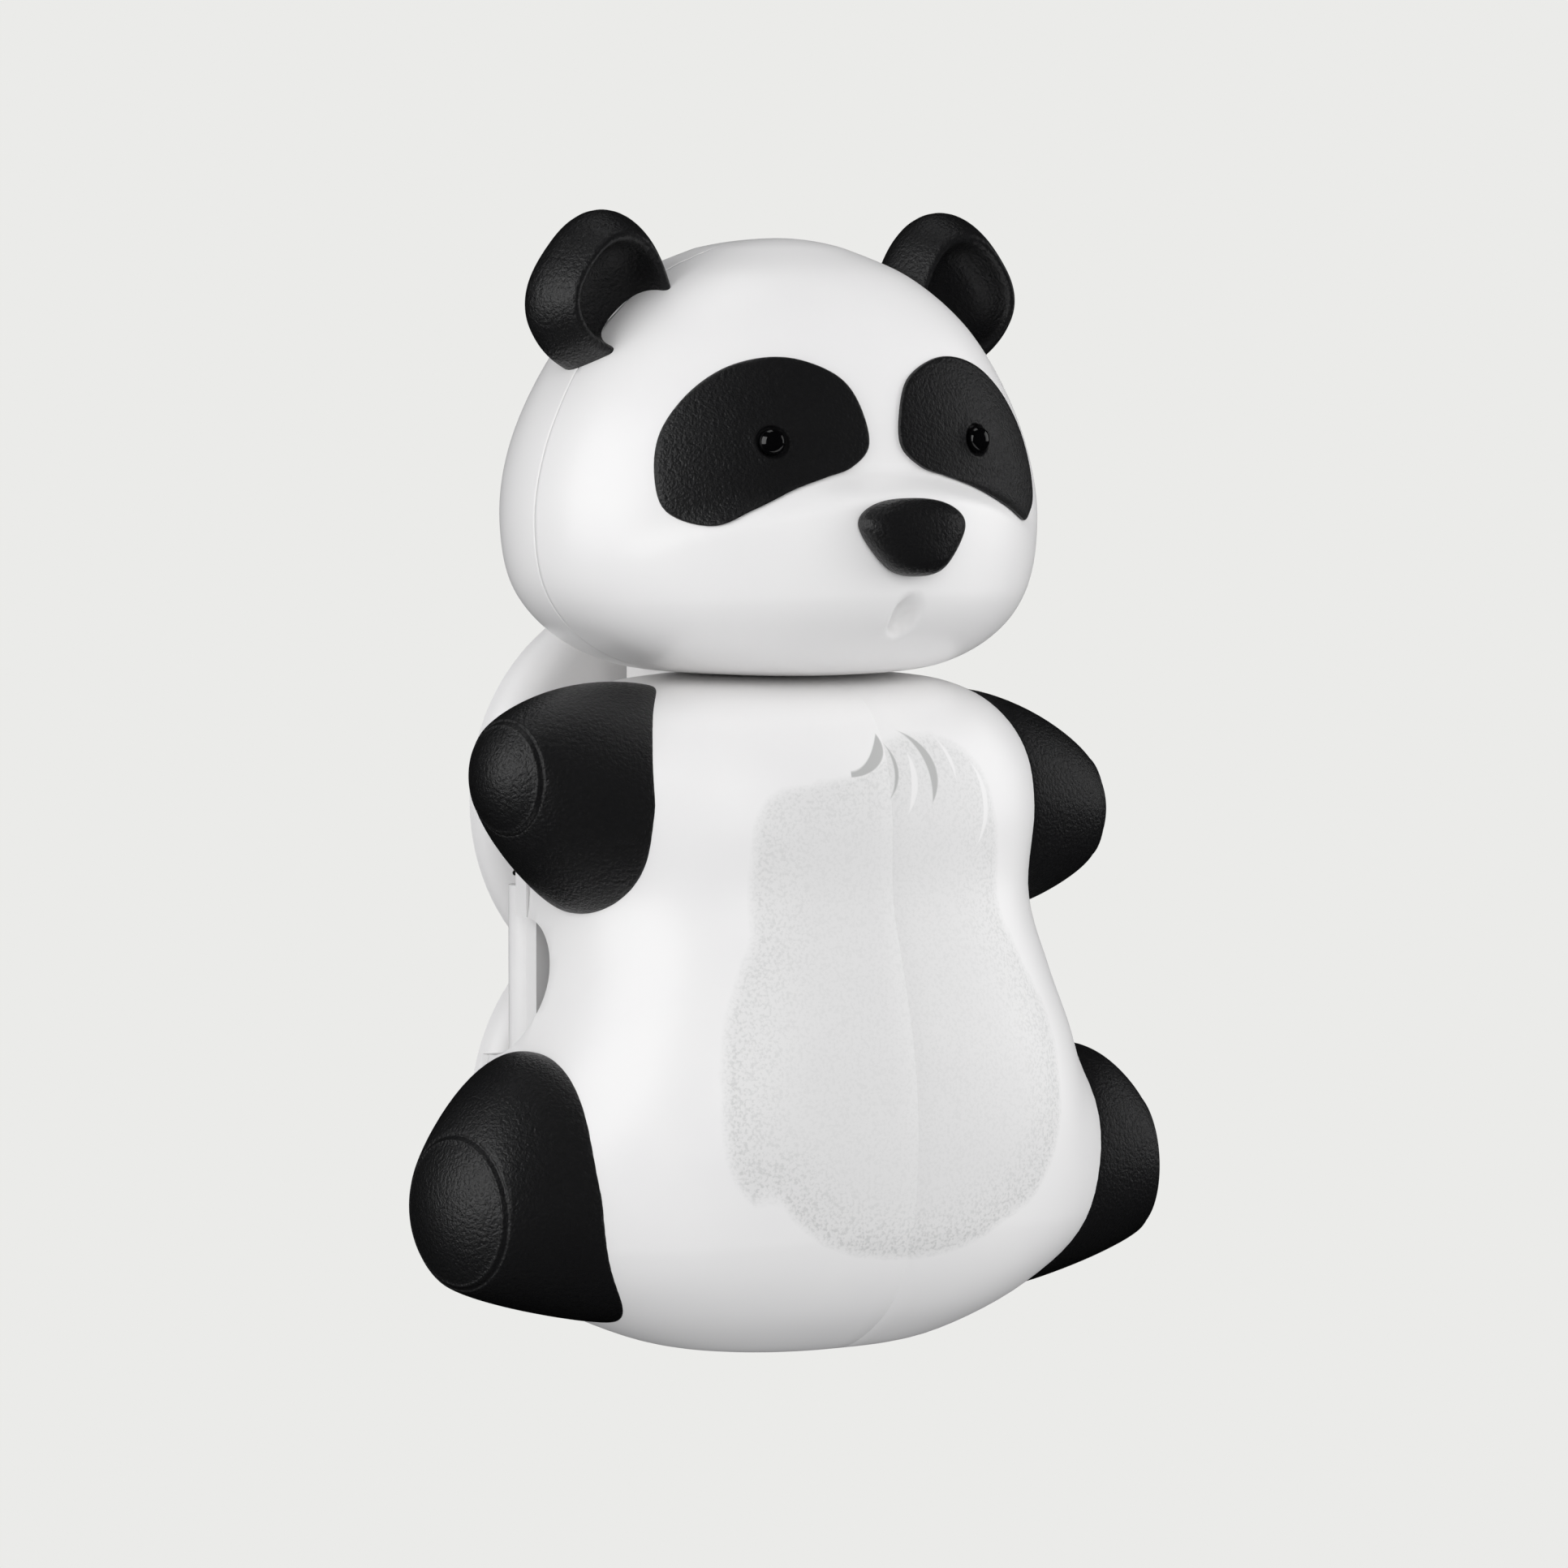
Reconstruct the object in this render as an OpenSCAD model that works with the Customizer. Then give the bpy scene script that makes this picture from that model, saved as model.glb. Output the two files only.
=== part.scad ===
// Wall-mounted toothbrush cover in the shape of a sitting panda.
// Two half shells swing outwards on vertical hinge pins held by a back frame,
// the head sits on the frame's neck post, and a suction cup holds it all on a wall.
// Axes: +Z up, the panda faces -Y, left is -X and right is +X as a viewer sees them.
// Origin: centre of the suction cup's lip, on the wall plane.

/* [Body shell] */
// Largest half width of the body, at the hips
body_half_w = 23.8; // [22:0.1:28]
// Largest distance from the hinge-side axis to the belly
body_front = 20.7; // [18:0.1:24]
// Height of the body from its underside to its flat top
body_h = 50.2; // [47:0.1:54]
// Wall thickness of the body's half shells
shell_t = 1.5; // [1.2:0.1:2.2]
// Gap between the two half shells at the front seam
seam_gap = 0.2; // [0.1:0.05:0.6]
// Where the half shells end, behind the body's middle plane
door_back_y = 3.4; // [2.4:0.1:4.4]
// Radius of the hole under the body for the toothbrush's neck
neck_hole_r = 5.5; // [4.5:0.1:6.5]
// Radius of the finger notch in each half shell's rear edge
notch_r = 5; // [3.5:0.1:6]

/* [Limbs] */
// How far an arm stands out from the body
arm_len = 6.7; // [5:0.1:10]
// How much lower the right arm's pad sits than the left arm's
arm_drop = 4; // [0:0.1:5]
// Radius of an arm's round paw pad
arm_pad_r = 4.4; // [3.4:0.1:5]
// How far a leg stands out from the body
leg_len = 4.1; // [4:0.1:9]
// Radius of a leg's round paw pad
leg_pad_r = 5.8; // [4.6:0.1:6.6]
// How much lower the right leg sits than the left leg
leg_drop = 0.8; // [0:0.1:2]

/* [Head] */
// Half width of the head
head_half_w = 21.1; // [19:0.1:24]
// Distance from the head's middle to its brow
head_front = 16.7; // [15:0.1:18.5]
// Height of the head
head_h = 32.2; // [30:0.1:36]
// Gap between the head and the half shells below it
head_gap = 0.2; // [0.15:0.05:0.8]
// Wall thickness of the head's shells
head_t = 1.5; // [1.2:0.1:2.2]
// How far the muzzle stands out from the brow
muzzle_out = 2.9; // [1.5:0.1:3.5]
// Parting plane between the head's front and back shells
head_split_y = -1.3; // [-3:0.1:0]
// Radius of an ear
ear_r = 5.8; // [5.2:0.1:7]
// Thickness of an ear from front to back
ear_t = 8; // [6:0.1:9]
// Thickness of an eye patch
patch_t = 1; // [0.8:0.1:1.2]
// Radius of an eye bead
eye_r = 1.25; // [1:0.05:1.5]
// Width of the nose
nose_w = 9.4; // [7.5:0.1:10.5]

/* [Hinges] */
// Distance of each hinge pin from the middle
hinge_x = 16.4; // [16:0.1:17]
// Distance of the hinge pins behind the body's middle plane
hinge_y = 7; // [6.4:0.1:8]
// Radius of a hinge pin
pin_r = 0.8; // [0.7:0.05:1]
// Running clearance between a pin and its bores
pin_clear = 0.05; // [0.02:0.01:0.08]
// Outer radius of the hinge barrels
barrel_r = 1.9; // [1.7:0.05:2.1]
// End clearance between hinge barrels
barrel_gap = 0.2; // [0.1:0.05:0.3]
// Wire thickness of a hinge spring
spring_wire = 0.5; // [0.4:0.05:0.55]
// Whole turns of a hinge spring
spring_turns = 4; // [3:1:5]

/* [Back frame] */
// Radius of the two lobes of the back plate
lobe_r = 16; // [14:0.1:17]
// Distance of the upper lobe's centre below the body's top
upper_lobe_drop = 10.2; // [9:0.1:12]
// Height of the lower lobe's centre above the underside
lower_lobe_z = 16; // [15:0.1:18]
// Thickness of the back plate
plate_t = 3.2; // [2.6:0.1:3.6]
// Distance of the plate's rear face behind the body's middle plane
plate_back_y = 17.5; // [17:0.1:18.5]
// Gap between the hollow spine box and the hinge barrels beside it
spine_gap = 2.5; // [1:0.1:3.5]
// Wall thickness of the spine box
spine_t = 1.6; // [1.2:0.1:2]
// Clearance around the neck post in the head
post_clear = 0.15; // [0.1:0.05:0.3]

/* [Suction cup] */
// Radius of the suction cup's lip
cup_r = 12.5; // [11:0.1:12.8]
// Distance from the back plate to the wall
cup_h = 4.5; // [4:0.1:6]
// Radius of the cup's stem
cup_stem_r = 2.5; // [2:0.1:3]
// Radius of the cup's snap-in head
cup_head_r = 3.8; // [3.4:0.1:4.5]
// Clearance around the cup's stem in its slot
cup_clear = 0.15; // [0.1:0.05:0.3]

/* [Hidden] */

white = "whitesmoke";
black = "#1b1b1d";
steel = "silver";
clear = "lightcyan";

wall_y = plate_back_y + cup_h;
upper_lobe_z = body_h - upper_lobe_drop;
spine_half_w = hinge_x - barrel_r - spine_gap;
body_sections = 2.45;   // roundness of the body's plan, 2 is an ellipse
head_sections = 2.15;   // roundness of the head's plan
big = 120;              // longer than the whole cover

// Height, half width and front depth of the body's plan, as shares of the overall sizes.
body_plan = [
    [0.016, neck_hole_r / body_half_w, neck_hole_r / body_front],
    [0.000, 0.350, 0.410],
    [0.018, 0.530, 0.590],
    [0.080, 0.770, 0.810],
    [0.170, 0.950, 0.945],
    [0.300, 1.000, 1.000],
    [0.440, 0.945, 0.985],
    [0.560, 0.865, 0.928],
    [0.680, 0.810, 0.855],
    [0.800, 0.825, 0.845],
    [0.886, 0.780, 0.800],
    [0.952, 0.665, 0.695],
    [0.988, 0.510, 0.550],
    [1.000, 0.300, 0.340]
];

// Height, half width, front depth and back depth of the head's plan, as shares.
head_plan = [
    [0.000, 0.285, 0.500, 0.210],
    [0.020, 0.570, 0.790, 0.480],
    [0.087, 0.806, 0.910, 0.690],
    [0.200, 0.957, 0.980, 0.875],
    [0.354, 1.000, 1.000, 0.946],
    [0.510, 0.962, 0.964, 0.952],
    [0.665, 0.858, 0.892, 0.874],
    [0.804, 0.711, 0.755, 0.731],
    [0.913, 0.502, 0.551, 0.539],
    [0.978, 0.266, 0.303, 0.297]
];

// One eye patch's outline: side and height from its middle, on the left side.
patch_outline = [
    [5.6, -2.5], [7.3, -0.9], [7.1, 1.7], [5.9, 4.1], [3.4, 5.5], [0.6, 5.9],
    [-2.6, 5.1], [-5.4, 3.1], [-7.3, 0.2], [-7.9, -3.0], [-7.4, -5.7], [-5.4, -6.8],
    [-2.7, -5.6], [0.6, -4.1], [3.4, -3.2]
];
eye_x = 8.4;
eye_z = 17.3;
brow_z = 14.4;      // height of the crease over the muzzle, above the chin

// Arm and leg: base centre Y and Z, base half sizes in Y and Z, pad centre Y and Z.
arm_place = [-3.9, body_h - 9.0, 7.2, 8.2, -4.2, body_h - 6.9];
leg_place = [-4.3, 12.8, 7.6, 9.9, -4.7, 11.8];
// the swell under a limb: its centre's Y and Z, its radius and its height
arm_mound = [-3.5, body_h - 8.7, 13.5, 1.3];
leg_mound = [-4, 11, 13.5, 3.6];
// Way out from base to pad, and the share of the change to the pad's size there.
limb_profile = [
    [0, 0], [0.15, 0.08], [0.32, 0.21], [0.5, 0.37], [0.68, 0.56], [0.84, 0.76], [0.95, 0.92], [1, 1]
];
pad_lean = 10;       // degrees that the round pads lean towards the front
pad_dome = 1.8;     // height of a pad's dome
limb_full = 0.9;    // how much fuller a limb is on its upper side

hinge_low_z = 12.5;
hinge_high_z = body_h - 7.7;
ear_len = 3.5;          // length of each of the frame's hinge ears
spring_room = 4.6;      // length of pin left for the spring
spine_front_y = 9.2;
spine_top_z = body_h - 3.2;
post_half_w = 5;
post_front_y = 5.5;
post_back_y = 12.5;
post_top_z = body_h + 11.8;
seat_gap = 0.16;        // between a glued-on piece and the surface under it
patch_gap = 0.45;       // between an eye patch and the creased face under it

// ---------- curves and lofts ----------
function smooth(t) = let(u = min(max(t, 0), 1)) u * u * (3 - 2 * u);
function signed_pow(v, e) = sign(v) * pow(abs(v), e);
function mix(a, b, t) = a + (b - a) * t;

// The row of a table at a fractional row number, on a smooth curve through the rows.
function row_at(rows, s) =
    let(last = len(rows) - 1, i = min(floor(s), last - 1), t = s - i,
        a = rows[max(i - 1, 0)], b = rows[i], c = rows[i + 1], d = rows[min(i + 2, last)])
    0.5 * (2 * b + (c - a) * t + (2 * a - 5 * b + 4 * c - d) * t * t + (3 * b - a - 3 * c + d) * t * t * t);

// The row number where a table reaches a height.
function row_for(rows, h, low, high, steps = 18) =
    let(mid = (low + high) / 2)
    steps == 0 ? mid
    : row_at(rows, mid)[0] < h
    ? row_for(rows, h, mid, high, steps - 1)
    : row_for(rows, h, low, mid, steps - 1);

// Triangles of one grid patch, leaving out those with no area.
function cells(p, a, b, c, d) =
    [if (p[a] != p[b] && p[b] != p[c] && p[a] != p[c]) [a, b, c],
     if (p[a] != p[c] && p[c] != p[d] && p[a] != p[d]) [a, c, d]];

// A closed solid through closed rings of points, ending in a point or a flat cap.
module loft(rings) {
    m = len(rings[0]);
    n = len(rings);
    p = [for (r = rings) each r];
    sides = [for (i = [0:n - 2], j = [0:m - 1]) let(k = (j + 1) % m)
        each cells(p, i * m + j, (i + 1) * m + j, (i + 1) * m + k, i * m + k)];
    caps = [
        if (rings[0][0] != rings[0][1]) [for (j = [0:m - 1]) j],
        if (rings[n - 1][0] != rings[n - 1][1]) [for (j = [m - 1:-1:0]) (n - 1) * m + j]
    ];
    polyhedron(p, concat(sides, caps));
}

// A closed wall between an outer and an inner grid of points with the same rows and columns.
module wall(outer, inner) {
    n = len(outer);
    m = len(outer[0]);
    p = concat([for (r = outer) each r], [for (r = inner) each r]);
    q = n * m;
    outside = [for (i = [0:n - 2], j = [0:m - 2])
        each cells(p, i * m + j, (i + 1) * m + j, (i + 1) * m + j + 1, i * m + j + 1)];
    inside = [for (i = [0:n - 2], j = [0:m - 2])
        each cells(p, q + i * m + j, q + i * m + j + 1, q + (i + 1) * m + j + 1, q + (i + 1) * m + j)];
    first = [for (j = [0:m - 2]) each cells(p, j, j + 1, q + j + 1, q + j)];
    last = [for (j = [0:m - 2]) let(k = (n - 1) * m + j) each cells(p, k + 1, k, q + k, q + k + 1)];
    left = [for (i = [0:n - 2]) let(k = i * m) each cells(p, k + m, k, q + k, q + k + m)];
    right = [for (i = [0:n - 2]) let(k = i * m + m - 1) each cells(p, k, k + m, q + k + m, q + k)];
    polyhedron(p, concat(outside, inside, first, last, left, right));
}

// An arc of points drawn in to a single point, for closing a surface at its top or bottom.
function drawn_in(arc, to, k) =
    [for (v = arc) [mix(v[0], to[0], k), mix(v[1], to[1], k), mix(v[2], to[2], k * (2 - k))]];

module mirrored() {
    mirror([1, 0, 0]) children();
}

// Height and half sizes of a plan at a row, grown outwards along its slope.
function plan_at(plan, s, grow, scales) =
    let(last = len(plan) - 1, r = row_at(plan, s),
        step = row_at(plan, min(s + 0.3, last)) - row_at(plan, max(s - 0.3, 0)),
        rise = step[0] * scales[0], out = step[1] * scales[1], far = max(norm([rise, out]), 0.001))
    [for (i = [0:len(scales) - 1]) i == 0
        ? r[0] * scales[0] - grow * out / far
        : max(r[i] * scales[i] + grow * rise / far, 0.3)];

// ---------- body surface ----------
body_scales = [body_h, body_half_w, body_front];
body_power = 2 / body_sections;

function mound(y, z, m) =
    let(d = ((y - m[0]) * (y - m[0]) + (z - m[1]) * (z - m[1])) / (m[2] * m[2])) m[3] * pow(max(0, 1 - d), 2);

function swell(x, y, z, side) =
    (mound(y, z, arm_mound) + mound(y, z, leg_mound)) * smooth(abs(x) / side);

// The left half shell's rear edge at a height: straight, with a crescent notch for a finger.
notch_z = 0.542 * body_h;
function rear_edge(z) =
    door_back_y - 0.9 * notch_r * pow(max(0, 1 - pow((z - notch_z) / notch_r, 2)), 0.7);

// One level of the left half shell, from the front seam round to the rear edge.
function door_arc(s, grow, columns) =
    let(r = plan_at(body_plan, s, grow, body_scales), z = r[0], side = r[1], deep = r[2],
        a0 = -acos(pow(seam_gap / 2 / side, 1 / body_power)),
        a1 = asin(signed_pow(rear_edge(z) / deep, 1 / body_power)))
    [for (j = [0:columns]) let(a = mix(a0, a1, j / columns),
        x = -side * signed_pow(cos(a), body_power), y = deep * signed_pow(sin(a), body_power))
        [x - (j == 0 ? 0 : swell(x, y, z, side)), y, z]];

function door_grid(grow, rows, columns) =
    let(last = len(body_plan) - 1,
        levels = [for (i = [0:rows]) door_arc(i * last / rows, grow, columns)],
        top = levels[rows], corner = [-seam_gap / 2, door_back_y, top[0][2]])
    concat(levels, [for (k = [0.5, 1]) drawn_in(top, corner, k)]);

// Side distance of the body's surface at a depth and height, on the flanks.
function body_x(y, z) =
    let(r = row_at(body_plan, row_for(body_plan, z / body_h, 2, len(body_plan) - 1)),
        side = r[1] * body_half_w, deep = r[2] * body_front,
        x = side * pow(max(0, 1 - pow(abs(y) / deep, body_sections)), 1 / body_sections))
    x + swell(x, y, z, side);

module door_left() {
    color(white) wall(door_grid(0, 32, 22), door_grid(-shell_t, 32, 22));
}

// ---------- head surface ----------
head_z0 = body_h + head_gap;
head_scales = [head_h, head_half_w, head_front, head_front];
head_power = 2 / head_sections;

function muzzle(x, z) =
    let(crease = head_z0 + brow_z - 0.0138 * x * x,
        above = smooth((crease + 1.2 - z) / 2.4),
        below = smooth((z - head_z0 - 0.5) / 4),
        across = pow(max(0, 1 - pow(x / (head_half_w * 0.88), 2)), 1.4))
    muzzle_out * above * below * across;

function head_point(r, a) =
    let(x = r[1] * signed_pow(cos(a), head_power), z = head_z0 + r[0],
        y = (sin(a) < 0 ? r[2] : r[3]) * signed_pow(sin(a), head_power))
    [x, y - (sin(a) < 0 ? muzzle(x, z) * smooth(-y / 6) : 0), z];

// One level of the head in front of the parting plane, or behind it.
function head_arc(s, grow, columns, front) =
    let(r = plan_at(head_plan, s, grow, head_scales),
        cut = asin(pow(-head_split_y / r[2], 1 / head_power)),
        a0 = front ? cut - 180 : -cut, a1 = front ? -cut : 180 + cut)
    [for (j = [0:columns]) let(p = head_point(r, mix(a0, a1, j / columns)))
        j == 0 || j == columns ? [p[0], head_split_y, p[2]] : p];

function head_grid(grow, rows, columns, front) =
    let(last = len(head_plan) - 1,
        levels = [for (i = [0:rows]) head_arc(i * last / rows, grow, columns, front)],
        chin = [0, head_split_y, levels[0][0][2]],
        crown = [0, head_split_y, head_z0 + head_h + grow])
    concat([for (k = [1, 0.5]) drawn_in(levels[0], chin, k)], levels,
        [for (k = [0.35, 0.7, 1]) drawn_in(levels[rows], crown, k)]);

// How far forward the face is at a side distance and a height above the chin.
function face_y(x, z) =
    let(r = row_at(head_plan, row_for(head_plan, z / head_h, 1, len(head_plan) - 1)),
        t = pow(abs(x) / (r[1] * head_half_w), head_sections))
    -r[2] * head_front * pow(max(0, 1 - t), 1 / head_sections) - muzzle(x, head_z0 + z);

// ---------- limbs ----------
// A limb's ring: base outline scaled about its centre, lying on the body.
function limb_foot(place, k, sides) =
    [for (j = [0:sides - 1]) let(a = 360 * j / sides,
        y = place[0] + k * place[2] * signed_pow(cos(a), 0.88),
        z = place[1] + k * place[3] * signed_pow(sin(a), 0.88))
        [-max(body_x(y, z), body_x(y, z - 3 * seat_gap)) - seat_gap, y, z]];

// Rises from the outline on the body to the rim of a round pad and closes over the pad's dome.
function limb_rings(place, length, pad_r, sides) =
    let(foot = limb_foot(place, 1, sides), out = [-cos(pad_lean), -sin(pad_lean), 0],
        middle = [pad_dome - length - body_x(place[4], place[5]), place[4], place[5]],
        turn = [for (j = [0:sides - 1]) let(a = 360 * j / sides)
            [-sin(pad_lean) * cos(a), cos(pad_lean) * cos(a), sin(a)]],
        pad = [for (v = turn) middle + v * pad_r])
    concat(
        [for (k = [0, 0.2, 0.4, 0.6, 0.8]) limb_foot(place, k, sides)],
        [for (f = limb_profile) [for (j = [0:sides - 1]) let(d = pad[j] - foot[j],
            full = limb_full * 4 * f[0] * (1 - f[0]) * pow(max(0, sin(360 * j / sides)), 2))
            [foot[j][0] + d[0] * f[0], foot[j][1] + d[1] * f[1], foot[j][2] + d[2] * f[1] + full]]],
        [for (k = [0.92, 0.7, 0.45, 0.2, 0])
            [for (v = turn) middle + v * (pad_r * k) + out * (pad_dome * (1 - k * k))]]);

// The two sides differ: the right arm's pad and the right leg sit lower.
module arm_left(drop = 0) {
    color(black) loft(limb_rings(arm_place - [0, 0.25 * drop, 0, 0, 0, drop], arm_len, arm_pad_r, 30));
}

module leg_left(drop = 0) {
    color(black) loft(limb_rings(leg_place - [0, drop, 0, 0, 0, drop], leg_len, leg_pad_r, 30));
}

// ---------- hinges ----------
barrel_low_z = hinge_low_z + ear_len + barrel_gap;
barrel_high_z = hinge_high_z - ear_len - spring_room;

module at_hinge() {
    translate([-hinge_x, hinge_y, 0]) children();
}

// Flanges of the hinge barrel that are welded to the half shell's rear edge.
module lever_flanges() {
    thick = 1.6;
    low = [barrel_low_z, notch_z - notch_r - 0.1 - barrel_low_z];
    high = [notch_z + notch_r + 0.1, barrel_high_z + 4 - notch_z - notch_r];
    for (f = [low, high]) {
        edge = min(body_x(door_back_y, f[0]), body_x(door_back_y, f[0] + f[1])) - 0.4;
        translate([-edge, door_back_y, f[0]]) cube([edge - hinge_x + 0.8, thick, f[1]]);
    }
    translate([-hinge_x - 1.4, door_back_y + thick / 2, barrel_low_z])
        cube([2.2, hinge_y - door_back_y - thick / 2 - 1.2, barrel_high_z - barrel_low_z]);
}

// Hinge barrel, flanges for the half shell, and the lever that the toothbrush's neck pushes on.
module hinge_lever_left() {
    lever_z = 6.5;
    lever_h = 7;
    lever_t = 1.4;
    lever_end = hinge_x - 2.6;
    start = 1.2;
    web_x = hinge_x - spine_half_w + 2.2;
    web_w = 2.8;
    color(white) difference() {
        union() {
            at_hinge() translate([0, 0, barrel_low_z])
                cylinder(r = barrel_r, h = barrel_high_z - barrel_low_z, $fn = 48);
            lever_flanges();
            at_hinge() rotate([0, 0, -14]) translate([start, -lever_t - 0.1, barrel_low_z + 0.5])
                cube([web_x + web_w - start, lever_t, 7]);
            at_hinge() rotate([0, 0, -14]) translate([web_x, -lever_t - 0.1, lever_z])
                cube([web_w, lever_t, barrel_low_z - lever_z + 4]);
            at_hinge() rotate([0, 0, -14]) translate([web_x, -lever_t - 0.1, lever_z])
                cube([lever_end - web_x, lever_t, lever_h]);
        }
        at_hinge() cylinder(r = pin_r + pin_clear, h = big, $fn = 32);
    }
}

module hinge_pin_left() {
    head_h_ = 0.8;
    color(steel) at_hinge() translate([0, 0, hinge_low_z]) union() {
        cylinder(r = pin_r, h = hinge_high_z - hinge_low_z + 0.1, $fn = 32);
        translate([0, 0, hinge_high_z - hinge_low_z + 0.1]) cylinder(r = pin_r * 1.7, h = head_h_, $fn = 32);
    }
}

// Wire swept along a helix around the pin.
module hinge_spring_left() {
    coil_r = pin_r + pin_clear + spring_wire / 2 + 0.25;
    room = spring_room - spring_wire - 2 * barrel_gap;
    per_turn = 14;
    count = spring_turns * per_turn;
    color(steel) at_hinge() translate([0, 0, barrel_high_z + barrel_gap + spring_wire / 2])
        loft([for (i = [0:count]) let(a = 360 * i / per_turn)
            [for (j = [0:5]) let(b = -60 * j, r = coil_r + spring_wire / 2 * cos(b))
                [r * cos(a), r * sin(a), room * i / count + spring_wire / 2 * sin(b)]]]);
}

// ---------- back frame ----------
// One round lobe of the back plate, its axis along Y, with a rounded front rim.
module lobe(z) {
    rim = plate_t - 0.6;
    translate([0, plate_back_y, z]) rotate([90, 0, 0]) rotate_extrude($fn = 96) union() {
        square([lobe_r - rim, plate_t]);
        square([lobe_r, plate_t - rim]);
        translate([lobe_r - rim, plate_t - rim]) intersection() {
            circle(r = rim, $fn = 48);
            square(rim);
        }
    }
}

// An ear of the frame around one hinge pin, joined to the spine box.
module hinge_ear(z) {
    at_hinge() translate([0, 0, z]) union() {
        cylinder(r = barrel_r, h = ear_len, $fn = 48);
        translate([0, -barrel_r, 0])
            cube([hinge_x - spine_half_w + 1, spine_front_y - hinge_y + barrel_r + 3, ear_len]);
    }
}

module neck_post(grow) {
    deep = post_back_y - post_front_y;
    translate([-post_half_w - grow, post_front_y - grow, spine_top_z - 8])
        cube([2 * (post_half_w + grow), deep + 2 * grow, post_top_z - spine_top_z + 8 + grow]);
    translate([-post_half_w - 3 - grow, post_front_y - grow, post_top_z - 3 - grow])
        cube([2 * (post_half_w + 3 + grow), deep + 2 * grow, 3 + 2 * grow]);
}

module back_frame() {
    color(white) difference() {
        union() {
            lobe(upper_lobe_z);
            lobe(lower_lobe_z);
            translate([-spine_half_w, spine_front_y, 8])
                cube([2 * spine_half_w, plate_back_y - plate_t / 2 - spine_front_y, spine_top_z - 8]);
            translate([-post_half_w, post_front_y, spine_top_z - 8])
                cube([2 * post_half_w, spine_front_y - post_front_y + 1, 8]);
            neck_post(0);
            for (z = [hinge_low_z, hinge_high_z - ear_len]) {
                hinge_ear(z);
                mirrored() hinge_ear(z);
            }
        }
        // hollow of the spine box, open to the front
        translate([-spine_half_w + spine_t, spine_front_y - 1, 8 + spine_t])
            cube([2 * (spine_half_w - spine_t), 1 + plate_back_y - plate_t - spine_front_y,
                spine_top_z - 8 - 2 * spine_t]);
        // drain slots through the floor of the box
        for (x = [-6, 0, 6])
            translate([x - 1, spine_front_y + 1.5, 6]) cube([2, 2.4, 5]);
        pin_bores();
        cup_slot();
    }
}

module pin_bores() {
    for (side = [-1, 1])
        translate([side * hinge_x, hinge_y, hinge_low_z - 1])
            cylinder(r = pin_r + pin_clear, h = hinge_high_z - hinge_low_z + 2, $fn = 32);
}

// Round pocket and hole behind the upper lobe for the suction cup's snap-in head.
module cup_slot() {
    translate([0, plate_back_y + 1, upper_lobe_z]) rotate([90, 0, 0])
        cylinder(r = cup_stem_r + cup_clear, h = plate_t + 2, $fn = 48);
    translate([0, plate_back_y - plate_t + 1.2, upper_lobe_z]) rotate([90, 0, 0])
        cylinder(r = cup_head_r + 0.4, h = 4.4, $fn = 48);
}

module suction_cup() {
    wall = 0.9;
    neck = plate_t - 1.2 + 0.1;
    color(clear) translate([0, wall_y, upper_lobe_z]) rotate([90, 0, 0]) rotate_extrude($fn = 96)
        polygon([
            [cup_r - 1.4, 0], [cup_r, 0], [cup_r, 0.5], [cup_r - 3.5, 1.5 + wall * 0.5],
            [cup_head_r + 2, cup_h - 1.2], [cup_head_r + 1.5, cup_h - 0.1], [cup_stem_r, cup_h - 0.1],
            [cup_stem_r, cup_h + neck], [cup_head_r, cup_h + neck], [cup_head_r, cup_h + neck + 1],
            [cup_head_r - 1.4, cup_h + neck + 2.2], [0, cup_h + neck + 2.2],
            [0, cup_h - 1.6], [cup_head_r + 1, cup_h - 1.9]
        ]);
}

// ---------- head ----------
module head_front() {
    color(white) wall(head_grid(0, 27, 34, true), head_grid(-head_t, 27, 34, true));
}

module head_back() {
    color(white) difference() {
        wall(head_grid(0, 20, 24, false), head_grid(-head_t, 20, 24, false));
        translate([-post_half_w - post_clear, post_front_y - post_clear, head_z0 - 2])
            cube([2 * (post_half_w + post_clear), post_back_y - post_front_y + 2 * post_clear, 9]);
    }
}

// A cup-shaped ear: a foot on the head, swelling to a ball whose front is hollowed.
ear_row = 7.15;     // where the ear stands, as a row of the head's plan
ear_lean = 34;      // degrees that the ear leans out from upright
ear_turn = 180;     // degrees round the head, 180 being straight out to the side
function ear_foot(k, sides) =
    [for (j = [0:sides - 1]) let(a = 360 * j / sides,
        r = plan_at(head_plan, ear_row + 0.62 * k * sin(a), seat_gap, head_scales))
        head_point(r, ear_turn - k * 15 * cos(a))];

function ear_ring(u, sides) =
    let(foot_mid = head_point(plan_at(head_plan, ear_row, 0, head_scales), ear_turn),
        out = [-sin(ear_lean), 0, cos(ear_lean)], along = [cos(ear_lean), 0, sin(ear_lean)],
        middle = foot_mid + out * ear_r * 0.3,
        round = sqrt(max(0, 1 - u * u)))
    [for (j = [0:sides - 1]) let(a = 360 * j / sides, t = ear_r * 1.04 * round * sin(a),
        d = norm([t, ear_r * u]), bowl = 3.8 * smooth((ear_r - 1.2 - d) / 2) * smooth(cos(a) * 3))
        middle + out * ear_r * u + along * t + [0, bowl - ear_t / 2 * round * cos(a), 0]];

module ear_left() {
    sides = 32;
    color(black) loft(concat(
        [for (k = [0, 0.5, 1]) ear_foot(k, sides)],
        [for (u = [-0.1, 0.12, 0.3, 0.45, 0.6, 0.72, 0.82, 0.9, 0.96, 1]) ear_ring(u, sides)]));
}

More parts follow.
